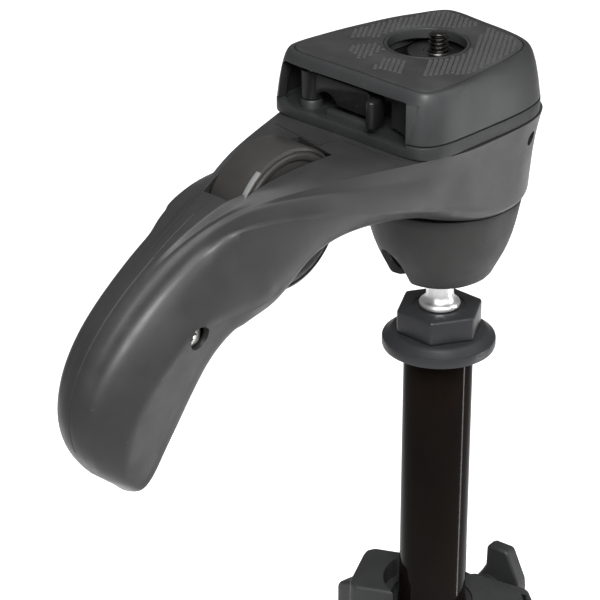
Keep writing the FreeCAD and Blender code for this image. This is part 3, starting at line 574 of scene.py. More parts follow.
def make_carrier():
    profile = [(2.66, 97.6), (9.2, 97.6), (9.5, 97.9), (9.5, 99.45), (9.15, 99.8), (4.6, 99.8), (4.3, 99.55),
               (3.6, 99.5), (3.3, 99.72), (2.66, 99.7)]
    disc = lathe("screw_carrier_disc", profile, 96, centre=(0, SCREW_Y, 0), loop=True)
    wings = prism("wings", [(-17, SCREW_Y - 5), (17, SCREW_Y - 5), (17, SCREW_Y + 5), (-17, SCREW_Y + 5)],
                  95.6, 97.7)
    bore = lathe("bore", [(2.66, 90), (2.66, 105)], 64, centre=(0, SCREW_Y, 0))
    cut(wings, bore)
    unite(disc, wings)
    place_piece(disc, "screw_carrier", "carrier", "black_metal", 35)


def make_tray():
    rings = [plate_ring(inset, z) for inset, z in (
        (0.1, 84.25), (-0.12, 84.4), (-0.15, 84.8), (-0.15, 87.8), (-0.05, 88.1), (0.2, 88.2), (2.4, 88.2),
        (2.6, 88.0),
        (2.75, 86.8), (8, 86.8), (8, 84.3))]
    tray = rings_object("tray_moulding", rings, loop=True)
    floor = rings_object("floor", [plate_ring(7.5, 84.32), plate_ring(7.5, 86.78)])
    unite(tray, floor)
    block = prism("block", [(-11, -27), (11, -27), (11, 10), (-11, 10)], 86.0, 89.6)
    cut(block, prism("well", [(-9, -25), (9, -25), (9, 8), (-9, 8)], 86.8, 91))
    post = lathe("post", [(3.4, 86), (3.4, 89.0), (3.1, 89.4)], 48, centre=LEVER_PIN)
    unite(tray, block, post)
    ridge = [(-40.6, 86.5), (-40.6, 87.9), (-40.1, 88.5), (-39.0, 88.7), (-37.6, 88.3), (-37.0, 87.4),
             (-37.0, 86.5)]
    unite(tray, side_prism("ridge", ridge, -11, 8))
    cut(tray, rounded_slot("rear", -28, 23, -60, -41.6, 87.2, 95, 0.5))
    holes = [lathe("hole", [(1.65, 80), (1.65, 90)], 24,
                   centre=(x, y, 0)) for x in (-15, 15) for y in (-22, 6)]
    holes.append(lathe("hole", [(1.5, 80), (1.5, 95)], 24, centre=LEVER_PIN))
    cut(tray, *holes)
    round_edges(tray, 0.15, 2, 40)
    place_piece(tray, "plate_base", "head", "tray_plastic", 38)


def make_lever():
    """Quick-release lever: blade with an arch, a pivot barrel and a hooked finger tab."""
    arch = [(-12.5 + 4.6 * math.cos(math.radians(a)),
             88.6 + 4.6 * math.sin(math.radians(a))) for a in range(170, 5, -15)]
    outline = [(-19.5, 89.9)] + arch + [(4.0, 89.9), (5.0, 90.4), (5.4, 91.4), (5.4, 94.5), (5.0, 96.6),
                                        (3.6, 97.8),
                                        (1.5, 98.0), (-19.5, 98.0)]
    rings = [[(x, -39.3, z) for x, z in outline], [(x, -36.7, z) for x, z in outline]]
    blade = rings_object("release_lever_blade", rings)
    round_edges(blade, 0.3, 2, 30)
    hook = [(3.6, -39.3), (5.0, -39.8), (6.3, -41.4), (7.2, -43.6), (8.2, -44.9), (9.6, -44.9), (10.5, -44.0),
            (10.3, -41.6), (9.5, -38.8), (8.8, -37.2), (7.4, -36.7), (3.6, -36.7)]
    tab = prism("tab", hook, 89.2, 97.6)
    round_edges(tab, 0.7, 4, 30)
    barrel = lathe("barrel", [(3.0, 89.7), (3.2, 89.9), (3.2, 98.4), (3.0, 98.6)], 48, centre=LEVER_PIN)
    unite(blade, tab, barrel)
    cut(blade, lathe("bore", [(1.55, 80), (1.55, 105)], 32, centre=LEVER_PIN))
    place_piece(blade, "release_lever", "lever", "lever_black", 35)


# ---- grip body ----------------------------------------------------------------------------
# Right half of the body. Every row runs from the ridge on top to the middle of the underside:
# middle, ridge edge, ridge foot, top crease, groove, main crease, lower crease, underside edge,
# middle. Millimetres in the head's frame.
DECK = 84.05
BODY_ROWS = (
    ((0, 21.0, DECK), (0, 21.2, DECK), (0, 21.4, DECK), (0, 22.2, 84.0), (0, 23.4, 74), (0, 26.6, 57),
     (0, 26.4, 55.2),
     (0, 25.2, 53.4), (0, 10, 53.4)),
    ((0, 15, DECK), (6, 16, DECK), (9, 18.2, DECK), (13.4, 21.4, 84.0), (12.6, 21.6, 74), (11.6, 24.2, 57),
     (11.4, 24.0, 55.2), (10.8, 22.8, 53.4), (0, 8, 53.4)),
    ((0, 9, DECK), (9, 10.5, DECK), (16, 13, DECK), (25.6, 16.7, 84.0), (22.6, 16.6, 74), (20.7, 17.2, 57),
     (20.5, 17.0, 55.2), (19.4, 16.2, 53.4), (0, 5, 53.4)),
    ((0, 3, DECK), (10, 3.5, DECK), (20, 5, DECK), (31.3, 6.4, 84.0), (28.8, 6.4, 74), (26.0, 6.9, 57),
     (25.8, 6.8, 55.2), (24.4, 6.5, 53.4), (0, 2, 53.4)),
    ((0, -5, DECK), (10, -5, DECK), (20, -5.5, DECK), (32.5, -6, 84.0), (30.2, -6, 75), (26.9, -5, 57),
     (26.5, -4.9, 55.2), (24.9, -4.6, 53.4), (0, -1, 53.4)),
    ((0, -14, DECK), (10, -14, DECK), (20, -15, DECK), (32.6, -17.5, 84.0), (29.9, -17.5, 75.6),
     (26.6, -14.4, 58.6),
     (25.1, -13.8, 55.6), (21.6, -12.5, 53.4), (0, -5, 53.4)),
    ((0, -24, DECK), (11, -24.5, DECK), (20, -26, DECK), (32.8, -29, 84.0), (27.6, -29, 76.4),
     (25.6, -25.6, 62.8),
     (22.2, -24, 58.2), (14.6, -19.6, 53.8), (0, -12, 53.6)),
    ((0, -35, DECK), (12, -35.5, DECK), (21, -37, DECK), (29.4, -38, 83.9), (26.2, -38, 77.0),
     (25.3, -34.5, 65.2),
     (20.8, -32.5, 61.0), (12.6, -28.6, 57.6), (0, -26, 57.2)),
    ((0, -46, 84.4), (12.6, -46.2, 84.4), (20, -46.5, 84.3), (26.6, -46.6, 83.9), (24.3, -45.4, 77.5),
     (25.8, -44.6, 68.8), (21, -44, 64.6), (16.5, -44, 62.6), (0, -44, 62.4)),
    ((0, -60, 85.4), (11.5, -60, 85.3), (17, -60, 85.0), (22.2, -60, 84.0), (21.7, -60.9, 79.4),
     (24.9, -59.4, 72.5),
     (20.4, -60, 67.2), (16, -60.5, 64.8), (0, -60.5, 64.5)),
    ((0, -74, 85.8), (10.6, -74, 85.6), (14, -74, 85.2), (17.6, -74, 83.7), (17.9, -72.9, 80.7),
     (22.9, -74.6, 76.2),
     (19.6, -74, 67.5), (15.4, -74.5, 62.4), (0, -74.5, 62.0)),
    ((0, -87, 85.0), (8.2, -87, 84.8), (10, -87, 84.2), (12.6, -86.5, 82.3), (13.0, -85.9, 81.2),
     (19.2, -87.5, 78.2),
     (18, -83.0, 61.4), (15.0, -81.4, 56.6), (0, -81, 56.0)),
    ((0, -98, 83.3), (4.9, -98, 83.0), (6.2, -97.8, 80.7), (8.2, -96, 80.9), (9.5, -95.0, 80.2),
     (15.7, -98.3, 78.6),
     (17.4, -90.6, 56.0), (13.6, -88.2, 50.6), (0, -87.6, 50.0)),
    ((0, -105.3, 80.5), (3.9, -105.3, 80.2), (5.0, -104.8, 78.6), (6.6, -104.4, 79.0), (7.8, -103.8, 78.1),
     (13.4, -104.5, 77.8), (17.0, -96.6, 54.4), (12.3, -94.0, 48.6), (0, -93.8, 47.4)),
    ((0, -113.2, 77.1), (2.7, -113.1, 76.9), (3.6, -112.8, 75.9), (5.0, -112.4, 76.1), (6.4, -111.6, 75.1),
     (12.0, -112.2, 74.5), (16.6, -105.4, 55.6), (11.3, -100.0, 46.6), (0, -100.2, 45.0)),
    ((0, -123.5, 71.2), (1.2, -123.5, 71.2), (2.6, -123.4, 71.0), (4.2, -123.2, 70.7), (6.0, -122.6, 69.8),
     (11.0, -123.0, 69.3), (16.0, -115.2, 56.2), (10.3, -107.2, 41.6), (0, -107.4, 40.3)),
    ((0, -134.4, 64.5), (1.2, -134.4, 64.5), (2.4, -134.3, 64.3), (4.0, -134.0, 64.0), (5.9, -133.3, 63.1),
     (10.5, -133.3, 62.4), (15.6, -124.8, 52.0), (9.8, -112.2, 35.8), (0, -112.3, 34.4)),
    ((0, -143.3, 57.0), (1.2, -143.3, 57.0), (2.4, -143.2, 56.8), (4.0, -142.9, 56.5), (5.7, -142.3, 55.8),
     (10.1, -142.0, 55.1), (15.0, -133.2, 45.8), (9.6, -117.0, 29.2), (0, -117.1, 27.6)),
    ((0, -150.2, 48.6), (1.2, -150.2, 48.6), (2.3, -150.1, 48.5), (3.8, -149.8, 48.2), (5.4, -149.4, 47.7),
     (9.4, -148.7, 46.7), (14.3, -139.8, 38.8), (9.6, -121.8, 22.6), (0, -121.8, 21.0)),
    ((0, -154.5, 39.0), (1.1, -154.5, 39.0), (2.1, -154.4, 38.9), (3.5, -154.1, 38.7), (4.9, -153.7, 38.3),
     (8.6, -152.2, 37.2), (13.4, -144.6, 30.8), (9.4, -126.4, 16.6), (0, -126.5, 15.0)),
    ((0, -155.0, 30.2), (1.0, -155.0, 30.2), (2.0, -154.9, 30.1), (3.2, -154.6, 29.9), (4.6, -154.1, 29.6),
     (7.6, -152.7, 28.6), (12.2, -145.6, 23.0), (9.1, -129.8, 11.4), (0, -129.9, 10.0)),
    ((0, -152.2, 21.9), (0.9, -152.2, 21.9), (1.7, -152.1, 21.8), (2.8, -151.8, 21.6), (3.9, -151.3, 21.3),
     (6.2, -150.3, 20.4), (10.2, -144.2, 16.0), (8.2, -133.2, 7.2), (0, -133.4, 6.0)),
    ((0, -146.9, 14.6), (0.7, -146.9, 14.6), (1.3, -146.8, 14.5), (2.1, -146.6, 14.4), (3.0, -146.3, 14.1),
     (4.5, -145.4, 13.3), (7.0, -141.8, 10.2), (5.8, -136.4, 5.4), (0, -136.6, 4.6)),
)
NECK_ROW = 8


def crease_of(row, column):
    """How sharp the line along the body is at one place."""
    if column in (1, 2):
        return 0.85 if 11 <= row <= 14 else 0.0
    if column == 3:
        return 1.0 if row <= 11 else max(0.0, 0.8 - 0.25 * (row - 11))
    if column == 4:
        return 0.7 if NECK_ROW - 1 <= row <= 12 else 0.0
    if column == 5:
        return 0.75 if row <= 12 else max(0.1, 0.6 - 0.2 * (row - 12))
    if column == 6:
        return 0.75 if row >= 12 else 0.3
    if column == 7:
        return 0.8 if row <= 13 else 0.35
    return 0.0


def body_surface():
    """The whole outside of the body as one smooth closed surface."""
    columns = len(BODY_ROWS[0])
    points = []
    ring = list(range(columns)) + [-k for k in range(columns - 2, 0, -1)]
    for row in BODY_ROWS:
        for k in ring:
            x, y, z = row[abs(k)]
            points.append(head(-x if k < 0 else x, y, z))
    count = len(ring)
    faces = []
    for r in range(len(BODY_ROWS) - 1):
        for k in range(count):
            n = (k + 1) % count
            faces.append((r * count + k, r * count + n, (r + 1) * count + n, (r + 1) * count + k))
    for first in (0, (len(BODY_ROWS) - 1) * count):
        half = columns - 1
        for k in range(half):
            a, b = first + k, first + k + 1
            c, d = first + (count - k - 1) % count, first + (count - k) % count
            faces.append(tuple(dict.fromkeys((a, b, c, d))))
    mesh = bpy.data.meshes.new("body_surface")
    mesh.from_pydata([tuple(p) for p in points], [], faces)
    build = bmesh.new()
    build.from_mesh(mesh)
    build.verts.ensure_lookup_table()
    layer = build.edges.layers.float.new("crease_edge")
    for edge in build.edges:
        a, b = sorted(v.index for v in edge.verts)
        if a // count != b // count and a % count == b % count:
            edge[layer] = crease_of(a // count, abs(ring[a % count]))
        elif a // count == len(BODY_ROWS) - 1:
            edge[layer] = 0.0
    bmesh.ops.remove_doubles(build, verts=build.verts, dist=1e-6)
    bmesh.ops.recalc_face_normals(build, faces=build.faces)
    for face in build.faces:
        face.smooth = True
    build.to_mesh(mesh)
    build.free()
    piece = bpy.data.objects.new("body_surface", mesh)
    bpy.context.scene.collection.objects.link(piece)
    subdivide(piece, 3)
    return piece


def inner_room(name, rows, inset):
    """The hollow inside the body between two rows, as a simple solid."""
    rings = []
    for row in rows:
        middle = (Vector(row[0]) + Vector(row[-1])) / 2
        ring = []
        for k in list(range(len(row))) + [-k for k in range(len(row) - 2, 0, -1)]:
            x, y, z = row[abs(k)]
            p = Vector((-x if k < 0 else x, y, z))
            arm = p - middle
            arm = arm * max(0.1, (arm.length - inset) / max(arm.length, 0.1))
            ring.append(tuple(middle + arm))
        rings.append(ring)
    return rings_object(name, rings)


WHEEL_Y = -74.8
WHEEL_Z = 69.8
WHEEL_R = 21.6
COVER_LINE = ((-22, -51), (-14.8, -53), (-9, -53.9), (-4, -54.8), (0.6, -55.6), (-0.1, -54.2), (-0.4, -52.7),
              (-0.1, -49.8), (0.8, -48.3), (2.2, -47.6), (7, -47.6), (12.3, -47.6), (18.7, -46.9),
              (24, -45.6))
GROOVE_HALF = 0.16
GROOVE_DEPTH = 0.4
SEAM_HALF = 0.00003      # metres from the middle plane to each half
SCREW_WELL_R = 3.6
FRONT_WELL = (26.3, 5.35, 76.8)
FRONT_WELL_R = 2.3


def surface_of(piece):
    """A piece's surface to shoot rays at."""
    build = bmesh.new()
    build.from_mesh(piece.data)
    tree = BVHTree.FromBMesh(build)
    build.free()
    return tree


def deck_groove(tree, line):
    """A cutter for a fine parting line on the top of the body."""
    spots = []
    for (x0, y0), (x1, y1) in zip(line, line[1:]):
        steps = max(1, int(math.hypot(x1 - x0, y1 - y0) / 0.8))
        spots += [Vector((x0 + (x1 - x0) * k / steps, y0 + (y1 - y0) * k / steps)) for k in range(steps)]
    spots.append(Vector(line[-1]))
    rings = []
    for k, spot in enumerate(spots):
        before, after = spots[max(k - 1, 0)], spots[min(k + 1, len(spots) - 1)]
        along = (after - before).normalized()
        side = Vector((-along.y, along.x)) * GROOVE_HALF
        hit = tree.ray_cast(head(spot.x + 0.003, spot.y + 0.003, 110), Vector((0, 0, -1)))[0]
        if hit is None:
            continue
        z = (hit.z - HEAD_Z) / MM
        left, right = spot + side, spot - side
        rings.append([(left.x, left.y, z + 1), (right.x, right.y, z + 1),
                      (right.x, right.y, z - GROOVE_DEPTH),
                      (left.x, left.y, z - GROOVE_DEPTH)])
    return rings_object("parting_line", rings)


def seam_groove(tree):
    """A cutter that eases the edges of the two halves where they meet along the back of the grip."""
    rings = []
    rows = BODY_ROWS[13:22]
    for first, second in zip(rows, rows[1:]):
        for share in (0.0, 0.25, 0.5, 0.75):
            outer = Vector(first[0]).lerp(Vector(second[0]), share)
            inner = Vector(first[-1]).lerp(Vector(second[-1]), share)
            out = (outer - inner).normalized()
            start = outer + out * 6
            hit = tree.ray_cast(head(0.003, start.y, start.z), -out)[0]
            if hit is None:
                continue
            y, z = hit.y / MM, (hit.z - HEAD_Z) / MM
            top, low_end = out * 0.5, out * -0.32
            rings.append([(-0.62, y + top.y, z + top.z), (0.62, y + top.y, z + top.z),
                          (0.05, y + low_end.y, z + low_end.z), (-0.05, y + low_end.y, z + low_end.z)])
    return rings_object("seam", rings)


def make_body():
    body = body_surface()
    tree = surface_of(body)
    cut(body, deck_groove(tree, COVER_LINE), seam_groove(tree))
    rooms = [
        lathe("drum_room", [(22.6, 50), (22.6, 79.5)], 96),
        inner_room("neck_room", BODY_ROWS[8:15], 2.6),
        inner_room("grip_room", BODY_ROWS[14:22], 2.4),
        side_prism("fork_room", [(-70, 67.4), (-49, 67.4), (-49, 76.5), (-70, 76.5)], -14.4, 14.4),
        lathe("cam_room", [(6.4, -14.4), (6.4, 14.4)], 48, axis="X", centre=(0, WHEEL_Y, WHEEL_Z)),
        lathe("wheel_room", [(WHEEL_R + 1.1, -7.4), (WHEEL_R + 1.1, 7.4)], 128, axis="X",
              centre=(0, WHEEL_Y, WHEEL_Z)),
        prism("slot_front", [(-9.0, -75), (-9.0, -54.4), (1.6, -56.8), (7.4, -58.3), (7.4, -75)], 82.5, 92),
        prism("slot_rear", [(-7.4, -75), (7.4, -75), (7.4, -90), (4.6, -97.6), (-4.6, -97.6), (-7.4, -90)],
              77, 92),
    ]
    cut(body, *rooms)
    for y, z, reach, side in ((-119.0, 51.6, 13.5, 1), (-104.5, 66.0, 13.0, -1), (-140.0, 27.0, 11.0, -1)):
        well = [(SCREW_WELL_R, side * (reach - 3.2)), (SCREW_WELL_R, side * 30)]
        cut(body, lathe("screw_well", well, 40, axis="X", centre=(0, y, z)))
    hole = lathe("front_well", [(FRONT_WELL_R, -4), (FRONT_WELL_R, 12)], 32, place=turned_point)
    cut(body, hole)
    for side, label in ((1, "right"), (-1, "left")):
        half = body.copy()
        half.data = body.data.copy()
        half.name = "body_%s_moulding" % label
        bpy.context.scene.collection.objects.link(half)
        split_half(half, side)
        place_piece(half, "body_%s_shell" % label, "head", "body_plastic", 42)
    bpy.data.objects.remove(body)


def turned_point(x, y, z):
    """A point of an upright lathe laid along the front screw's axis."""
    along = Vector((0.98, 0.2, 0)).normalized()
    side = Vector((0, 0, 1))
    up = along.cross(side)
    spot = Vector(FRONT_WELL) + along * z + side * x + up * y
    return head(*spot)


def split_half(piece, side):
    """Keep one side of the middle plane and close it."""
    build = bmesh.new()
    build.from_mesh(piece.data)
    everything = build.verts[:] + build.edges[:] + build.faces[:]
    found = bmesh.ops.bisect_plane(build, geom=everything, plane_co=(side * SEAM_HALF, 0, 0),
                                   plane_no=(side, 0, 0),
                                   clear_inner=True)
    edges = [e for e in found["geom_cut"] if isinstance(e, bmesh.types.BMEdge)]
    bmesh.ops.holes_fill(build, edges=edges)
    bmesh.ops.recalc_face_normals(build, faces=build.faces)
    build.to_mesh(piece.data)
    build.free()


# ---- wheel, cup, ball ---------------------------------------------------------------------
def make_wheel():
    centre = (0, WHEEL_Y, WHEEL_Z)
    half = [(0.0, 3.05), (6.6, 3.05), (6.8, 3.2), (6.8, 12.0), (6.2, 12.6), (6.2, 17.4), (6.8, 18.0),
            (7.0, 18.4),
            (6.98, 19.4), (6.6, 19.9), (6.25, 20.0), (6.25, 20.5), (6.6, 20.6), (6.5, 21.0), (6.2, 21.45),
            (5.6, 21.6), (0.0, 21.6)]
    profile = [(r, x) for x, r in half] + [(r, -x) for x, r in reversed(half[1:-1])]
    wheel = lathe("wheel_body", profile, 160, axis="X", centre=centre, loop=True)
    throw = math.radians(60)
    cam_centre = (0, WHEEL_Y + math.cos(throw), WHEEL_Z + math.sin(throw))
    cams = [lathe("cam", [(5.0, side * 6.4), (5.0, side * 13.6), (4.7, side * 13.8)], 64, axis="X",
                  centre=cam_centre) for side in (-1, 1)]
    unite(wheel, *cams)
    cut(wheel, lathe("bore", [(3.05, -20), (3.05, 20)], 48, axis="X", centre=centre))
    place_piece(wheel, "lock_wheel", "wheel", "wheel_plastic", 35)


def make_index():
    """Light strip round the wheel's right edge."""
    rings = []
    for k in range(33):
        a = math.radians(122 + 2 * k)
        ring = []
        for r, x in ((21.0, 6.45), (21.45, 6.3), (21.68, 5.8), (21.7, 5.0), (21.2, 4.8), (20.6, 5.6)):
            ring.append((x, WHEEL_Y + r * math.cos(a), WHEEL_Z + r * math.sin(a)))
        rings.append(ring)
    strip = rings_object("wheel_index_strip", rings)
    place_piece(strip, "wheel_index", "wheel", "index_grey", 40)


def make_cup():
    outside = [(9.5, 25.25), (9.9, 25.05), (11.0, 25.0), (12.6, 25.3), (14.0, 26.0), (15.6, 27.0),
               (16.4, 28.0),
               (17.35, 30.0), (18.4, 32.0), (19.85, 35.0), (21.05, 38.0), (22.0, 41.0), (22.75, 44.0),
               (23.4, 47.0),
               (23.95, 50.0), (24.45, 52.6), (24.3, 53.0)]
    inside_line = [(22.4, 53.0), (21.6, 50.6), (17.06, 50.6), (17.06, 48.6), (20.9, 48.6), (20.2, 43.6),
                   (18.6, 38.4),
                   (16.9, 34.4), (15.2, 30.4), (13.6, 28.2), (11.6, 26.8), (9.5, 26.6)]
    cup = lathe("selector_cup_moulding", outside + inside_line, 160, loop=True)
    arch = [(5.2 * math.cos(math.radians(a)),
             32.8 + 5.2 * math.sin(math.radians(a))) for a in range(0, 181, 12)]
    turn = math.radians(257)
    rings = []
    for reach in (4.0, 40.0):
        ring = []
        for across, z in [(5.2, 20.0)] + arch + [(-5.2, 20.0)]:
            x = reach * math.cos(turn) - across * math.sin(turn)
            y = reach * math.sin(turn) + across * math.cos(turn)
            ring.append((x, y, z))
        rings.append(ring)
    cut(cup, rings_object("notch", rings))
    round_edges(cup, 0.25, 2, 45)
    place_piece(cup, "selector_cup", "cup", "cup_plastic", 38)


def make_stem():
    profile = [(0, -12), (3.0, -12), (3.0, 14.0), (6.2, 14.0), (6.5, 14.25), (6.5, 15.1), (6.3, 15.45),
               (5.6, 15.9),
               (4.9, 16.6), (4.45, 17.5), (4.3, 18.8), (4.3, 39.9), (0, 39.9)]
    stem = lathe("stem_turned", profile, 96)
    place_piece(stem, "stem", "column", "bright_aluminium", 30)


# ---- column -------------------------------------------------------------------------------
def make_hex():
    corners = circle(6, 14.2)
    boss = prism("hex_boss_moulding", corners, 5.9, 14.0)
    round_edges(boss, 0.9, 4, 20)
    dish = lathe("dish", [(8.2, 13.75), (8.4, 15)], 64)
    cut(boss, dish)
    spigot = lathe("spigot", [(7.95, -22), (7.95, 6.5)], 64)
    unite(boss, spigot)
    cut(boss, lathe("bore", [(3.02, -13), (3.02, 20)], 32))
    place_piece(boss, "hex_boss", "column", "boss_plastic", 35)


def make_flange():
    profile = [(8.0, 0.0), (17.3, 0.0), (17.8, 0.3), (18.0, 0.9), (18.0, 2.9), (17.85, 3.35), (17.4, 3.6),
               (15.6, 5.2),
               (15.0, 5.75), (14.5, 5.9), (8.0, 5.9)]
    flange = lathe("top_flange_moulding", profile, 128, loop=True)
    place_piece(flange, "top_flange", "column", "boss_plastic", 30)


def make_column():
    profile = [(9.6, -280), (10.9, -280), (11.0, -279.8), (11.0, -0.2), (10.9, -0.02), (8.0, -2), (8.0, -24),
               (9.6, -24)]
    column = lathe("column_tube_drawn", profile, 128, loop=True)
    place_piece(column, "column_tube", "column", "column_black", 30)


# ---- shoulder -----------------------------------------------------------------------------
LOBE_ANGLES = (51.5, 171.5, 291.5)
KNOB_ANGLE = 96.0
SHOULDER_DROP = 9
TOWER_ANGLE = 207.0


def low(x, y, z):
    """A point of the shoulder, which is drawn above its place."""
    return head(x, y, z - SHOULDER_DROP)


def turner(angle, place=low):
    """A placing function that first turns a point about the column."""
    a = math.radians(angle)

    def turned(x, y, z):
        return place(x * math.cos(a) - y * math.sin(a), x * math.sin(a) + y * math.cos(a), z)
    return turned


def make_shoulder():
    hub = lathe("shoulder_casting", [(13.55, -113), (20.0, -113), (20.0, -86), (13.55, -86)], 96, low,
                loop=True)
    for angle in LOBE_ANGLES:
        at = turner(angle)
        profile = [(15.0, -113), (36, -113), (36, -94.5), (34.6, -92.6), (19, -86), (15.0, -86)]
        rings = [[(x, y, z) for x, z in profile] for y in (-11.5, 11.5)]
        arm = rings_object("arm", rings, place=at)
        round_edges(arm, 1.6, 4, 30)
        unite(hub, arm)
    tower_line = [(0, -11), (1.5, -12.7), (23, -12.7), (25.4, -10.8), (25.8, -8), (25.8, 8), (25.4, 10.8),
                  (23, 12.7),
                  (1.5, 12.7), (0, 11)]
    tower = prism("tower", tower_line, -112.9, -78.1, place=turner(TOWER_ANGLE))
    round_edges(tower, 2.2, 5, 30)
    cut(tower, lathe("tower_bore", [(16.25, -84.65), (16.25, -70)], 96, low),
        lathe("tower_bore", [(13.6, -120), (13.6, -70)], 96, low))
    unite(hub, tower)
    at = turner(KNOB_ANGLE)
    boss = lathe("boss", [(7.5, 14.5), (7.5, 25.2), (7.2, 25.5)], 64, axis="X", centre=(0, 0, -101), place=at)
    unite(hub, boss)
    for angle in LOBE_ANGLES:
        at = turner(angle)
        slot = rings_object("slot", [[(16.6, y, z), (50, y, z)] + [(50, y, t), (16.6, y, t)]
                                     for y, z, t in ((-6.2, -120, -91.4), (6.2, -120, -91.4))], place=at)
        cut(hub, slot)
        bore = rings_object("bore",
                            [[(27 + a, y, -101 + b) for a, b in circle(24, 2.52)] for y in (-10.9, 10.9)],
                            place=at)
        cut(hub, bore)
    cut(hub,
        lathe("stud_bore", [(3.3, 5), (3.3, 40)], 32, axis="X", centre=(0, 0, -101),
              place=turner(KNOB_ANGLE)))
    round_edges(hub, 0.5, 3, 40)
    place_piece(hub, "shoulder", "shoulder", "shoulder_plastic", 38)


def make_bush():
    """A low sleeve for the column, just below the flat top of the casting."""
    sleeve = lathe("bush_sleeve",
                   [(11.06, -112.9), (13.5, -112.9), (13.5, -86.6), (13.2, -86.3), (11.5, -86.3),
                                   (11.06, -86.8)], 96, low, loop=True)
    place_piece(sleeve, "column_bush", "shoulder", "bush_plastic", 38)


def make_knob():
    at = turner(KNOB_ANGLE)
    disc = lathe("lock_knob_moulding",
                 [(3.2, 17.4), (3.2, 25.9), (8.1, 25.9), (8.5, 26.3), (8.5, 30.2), (8.0, 31.0),
                                        (6.6, 31.2), (6.5, 35.0)], 64, axis="X", centre=(0, 0, -101),
                                        place=at)
    outline = [(1.5, -84.4), (1.2, -83.6), (0.2, -83.1), (-5.8, -83.1), (-6.8, -83.6), (-7.4, -84.6),
               (-9.4, -89.0),
               (-11.6, -93.6), (-12.0, -97.0), (-11.5, -101), (-9.8, -104.6), (-7, -107), (-3.5, -108.6),
               (0, -108.9),
               (3.5, -108.0), (5.8, -106), (6.2, -101), (5.0, -96.5), (3.2, -93.8), (1.7, -91)]
    rings = [[(x, y, z) for y, z in outline] for x in (34.5, 40.0)]
    wing = rings_object("wing", rings, place=at)
    round_edges(wing, 1.1, 4, 50)
    unite(disc, wing)
    place_piece(disc, "lock_knob", "knob", "knob_plastic", 38)


# ---- legs ---------------------------------------------------------------------------------
SPREAD = 23.5
HINGE_R = 27.0
HINGE_DROP = 110.0
TUBE_R = (11.25, 9.5, 7.8)
TUBE_TOP = (-24.0, -32.0, -40.0)
TUBE_END = (-250.0, -288.0, -314.0)
COLLAR_TOP = (-226.0, -265.0)
COLLAR_END = (-257.0, -295.0)
LEVER_HALF = 7.5


def leg_placer(angle):
    """A placing function from a hanging leg's own frame to its place on the tripod."""
    hinge_z = HEAD_Z / MM - HINGE_DROP
    s, c = math.sin(math.radians(SPREAD)), math.cos(math.radians(SPREAD))
    a = math.radians(angle)

    def placed(x, y, z):
        out = x * c - z * s + HINGE_R
        up = x * s + z * c + hinge_z
        return Vector((out * math.cos(a) - y * math.sin(a), out * math.sin(a) + y * math.cos(a), up)) * MM
    return placed


def make_leg_top(number, at):
    profile = [(11.3, -45), (12.7, -45), (13.15, -44.5), (13.15, -24), (12.6, -22.4), (10.5, -20.4),
               (8.5, -19.5), (0, -19.5),
               (0, -24), (11.3, -24)]
    barrel = lathe("leg_%d_casting" % number, profile, 96, place=at, loop=True)
    eye_ring = [(9.0 * math.cos(math.radians(a)), 9.0 * math.sin(math.radians(a))) for a in range(0, 181, 9)]
    outline = eye_ring + [(-9.0, -18), (-8.2, -23), (8.2, -23), (9.0, -18)]
    tongue = rings_object("tongue", [[(x, y, z) for x, z in outline] for y in (-5.9, 5.9)], place=at)
    round_edges(tongue, 0.8, 3, 40)
    unite(barrel, tongue)
    bore = rings_object("bore", [[(a, y, b) for a, b in circle(32, 2.55)] for y in (-10, 10)], place=at)
    cut(barrel, bore)
    for z in (-39.5, -36.5):
        groove = lathe("groove", [(12.9, z - 0.5), (14, z - 0.5), (14, z + 0.5), (12.9, z + 0.5)], 96,
                       place=at, loop=True)
        cut(barrel, groove)
    round_edges(barrel, 0.3, 2, 45)
    place_piece(barrel, "leg_%d_top" % number, "leg_%d" % number, "shoulder_plastic", 38)


def make_leg_tube(number, section, at, body):
    radius = TUBE_R[section]
    top, end = TUBE_TOP[section] - 0.05, TUBE_END[section]
    inner = radius - 0.95
    profile = [(inner, end), (radius - 0.1, end), (radius, end + 0.1), (radius, top - 0.1),
               (radius - 0.1, top),
               (inner, top)]
    piece = lathe("leg_%d_drawn_tube_%d" % (number, section + 1), profile, 96, place=at, loop=True)
    place_piece(piece, "leg_%d_tube_%d" % (number, section + 1), body, "leg_black", 30)


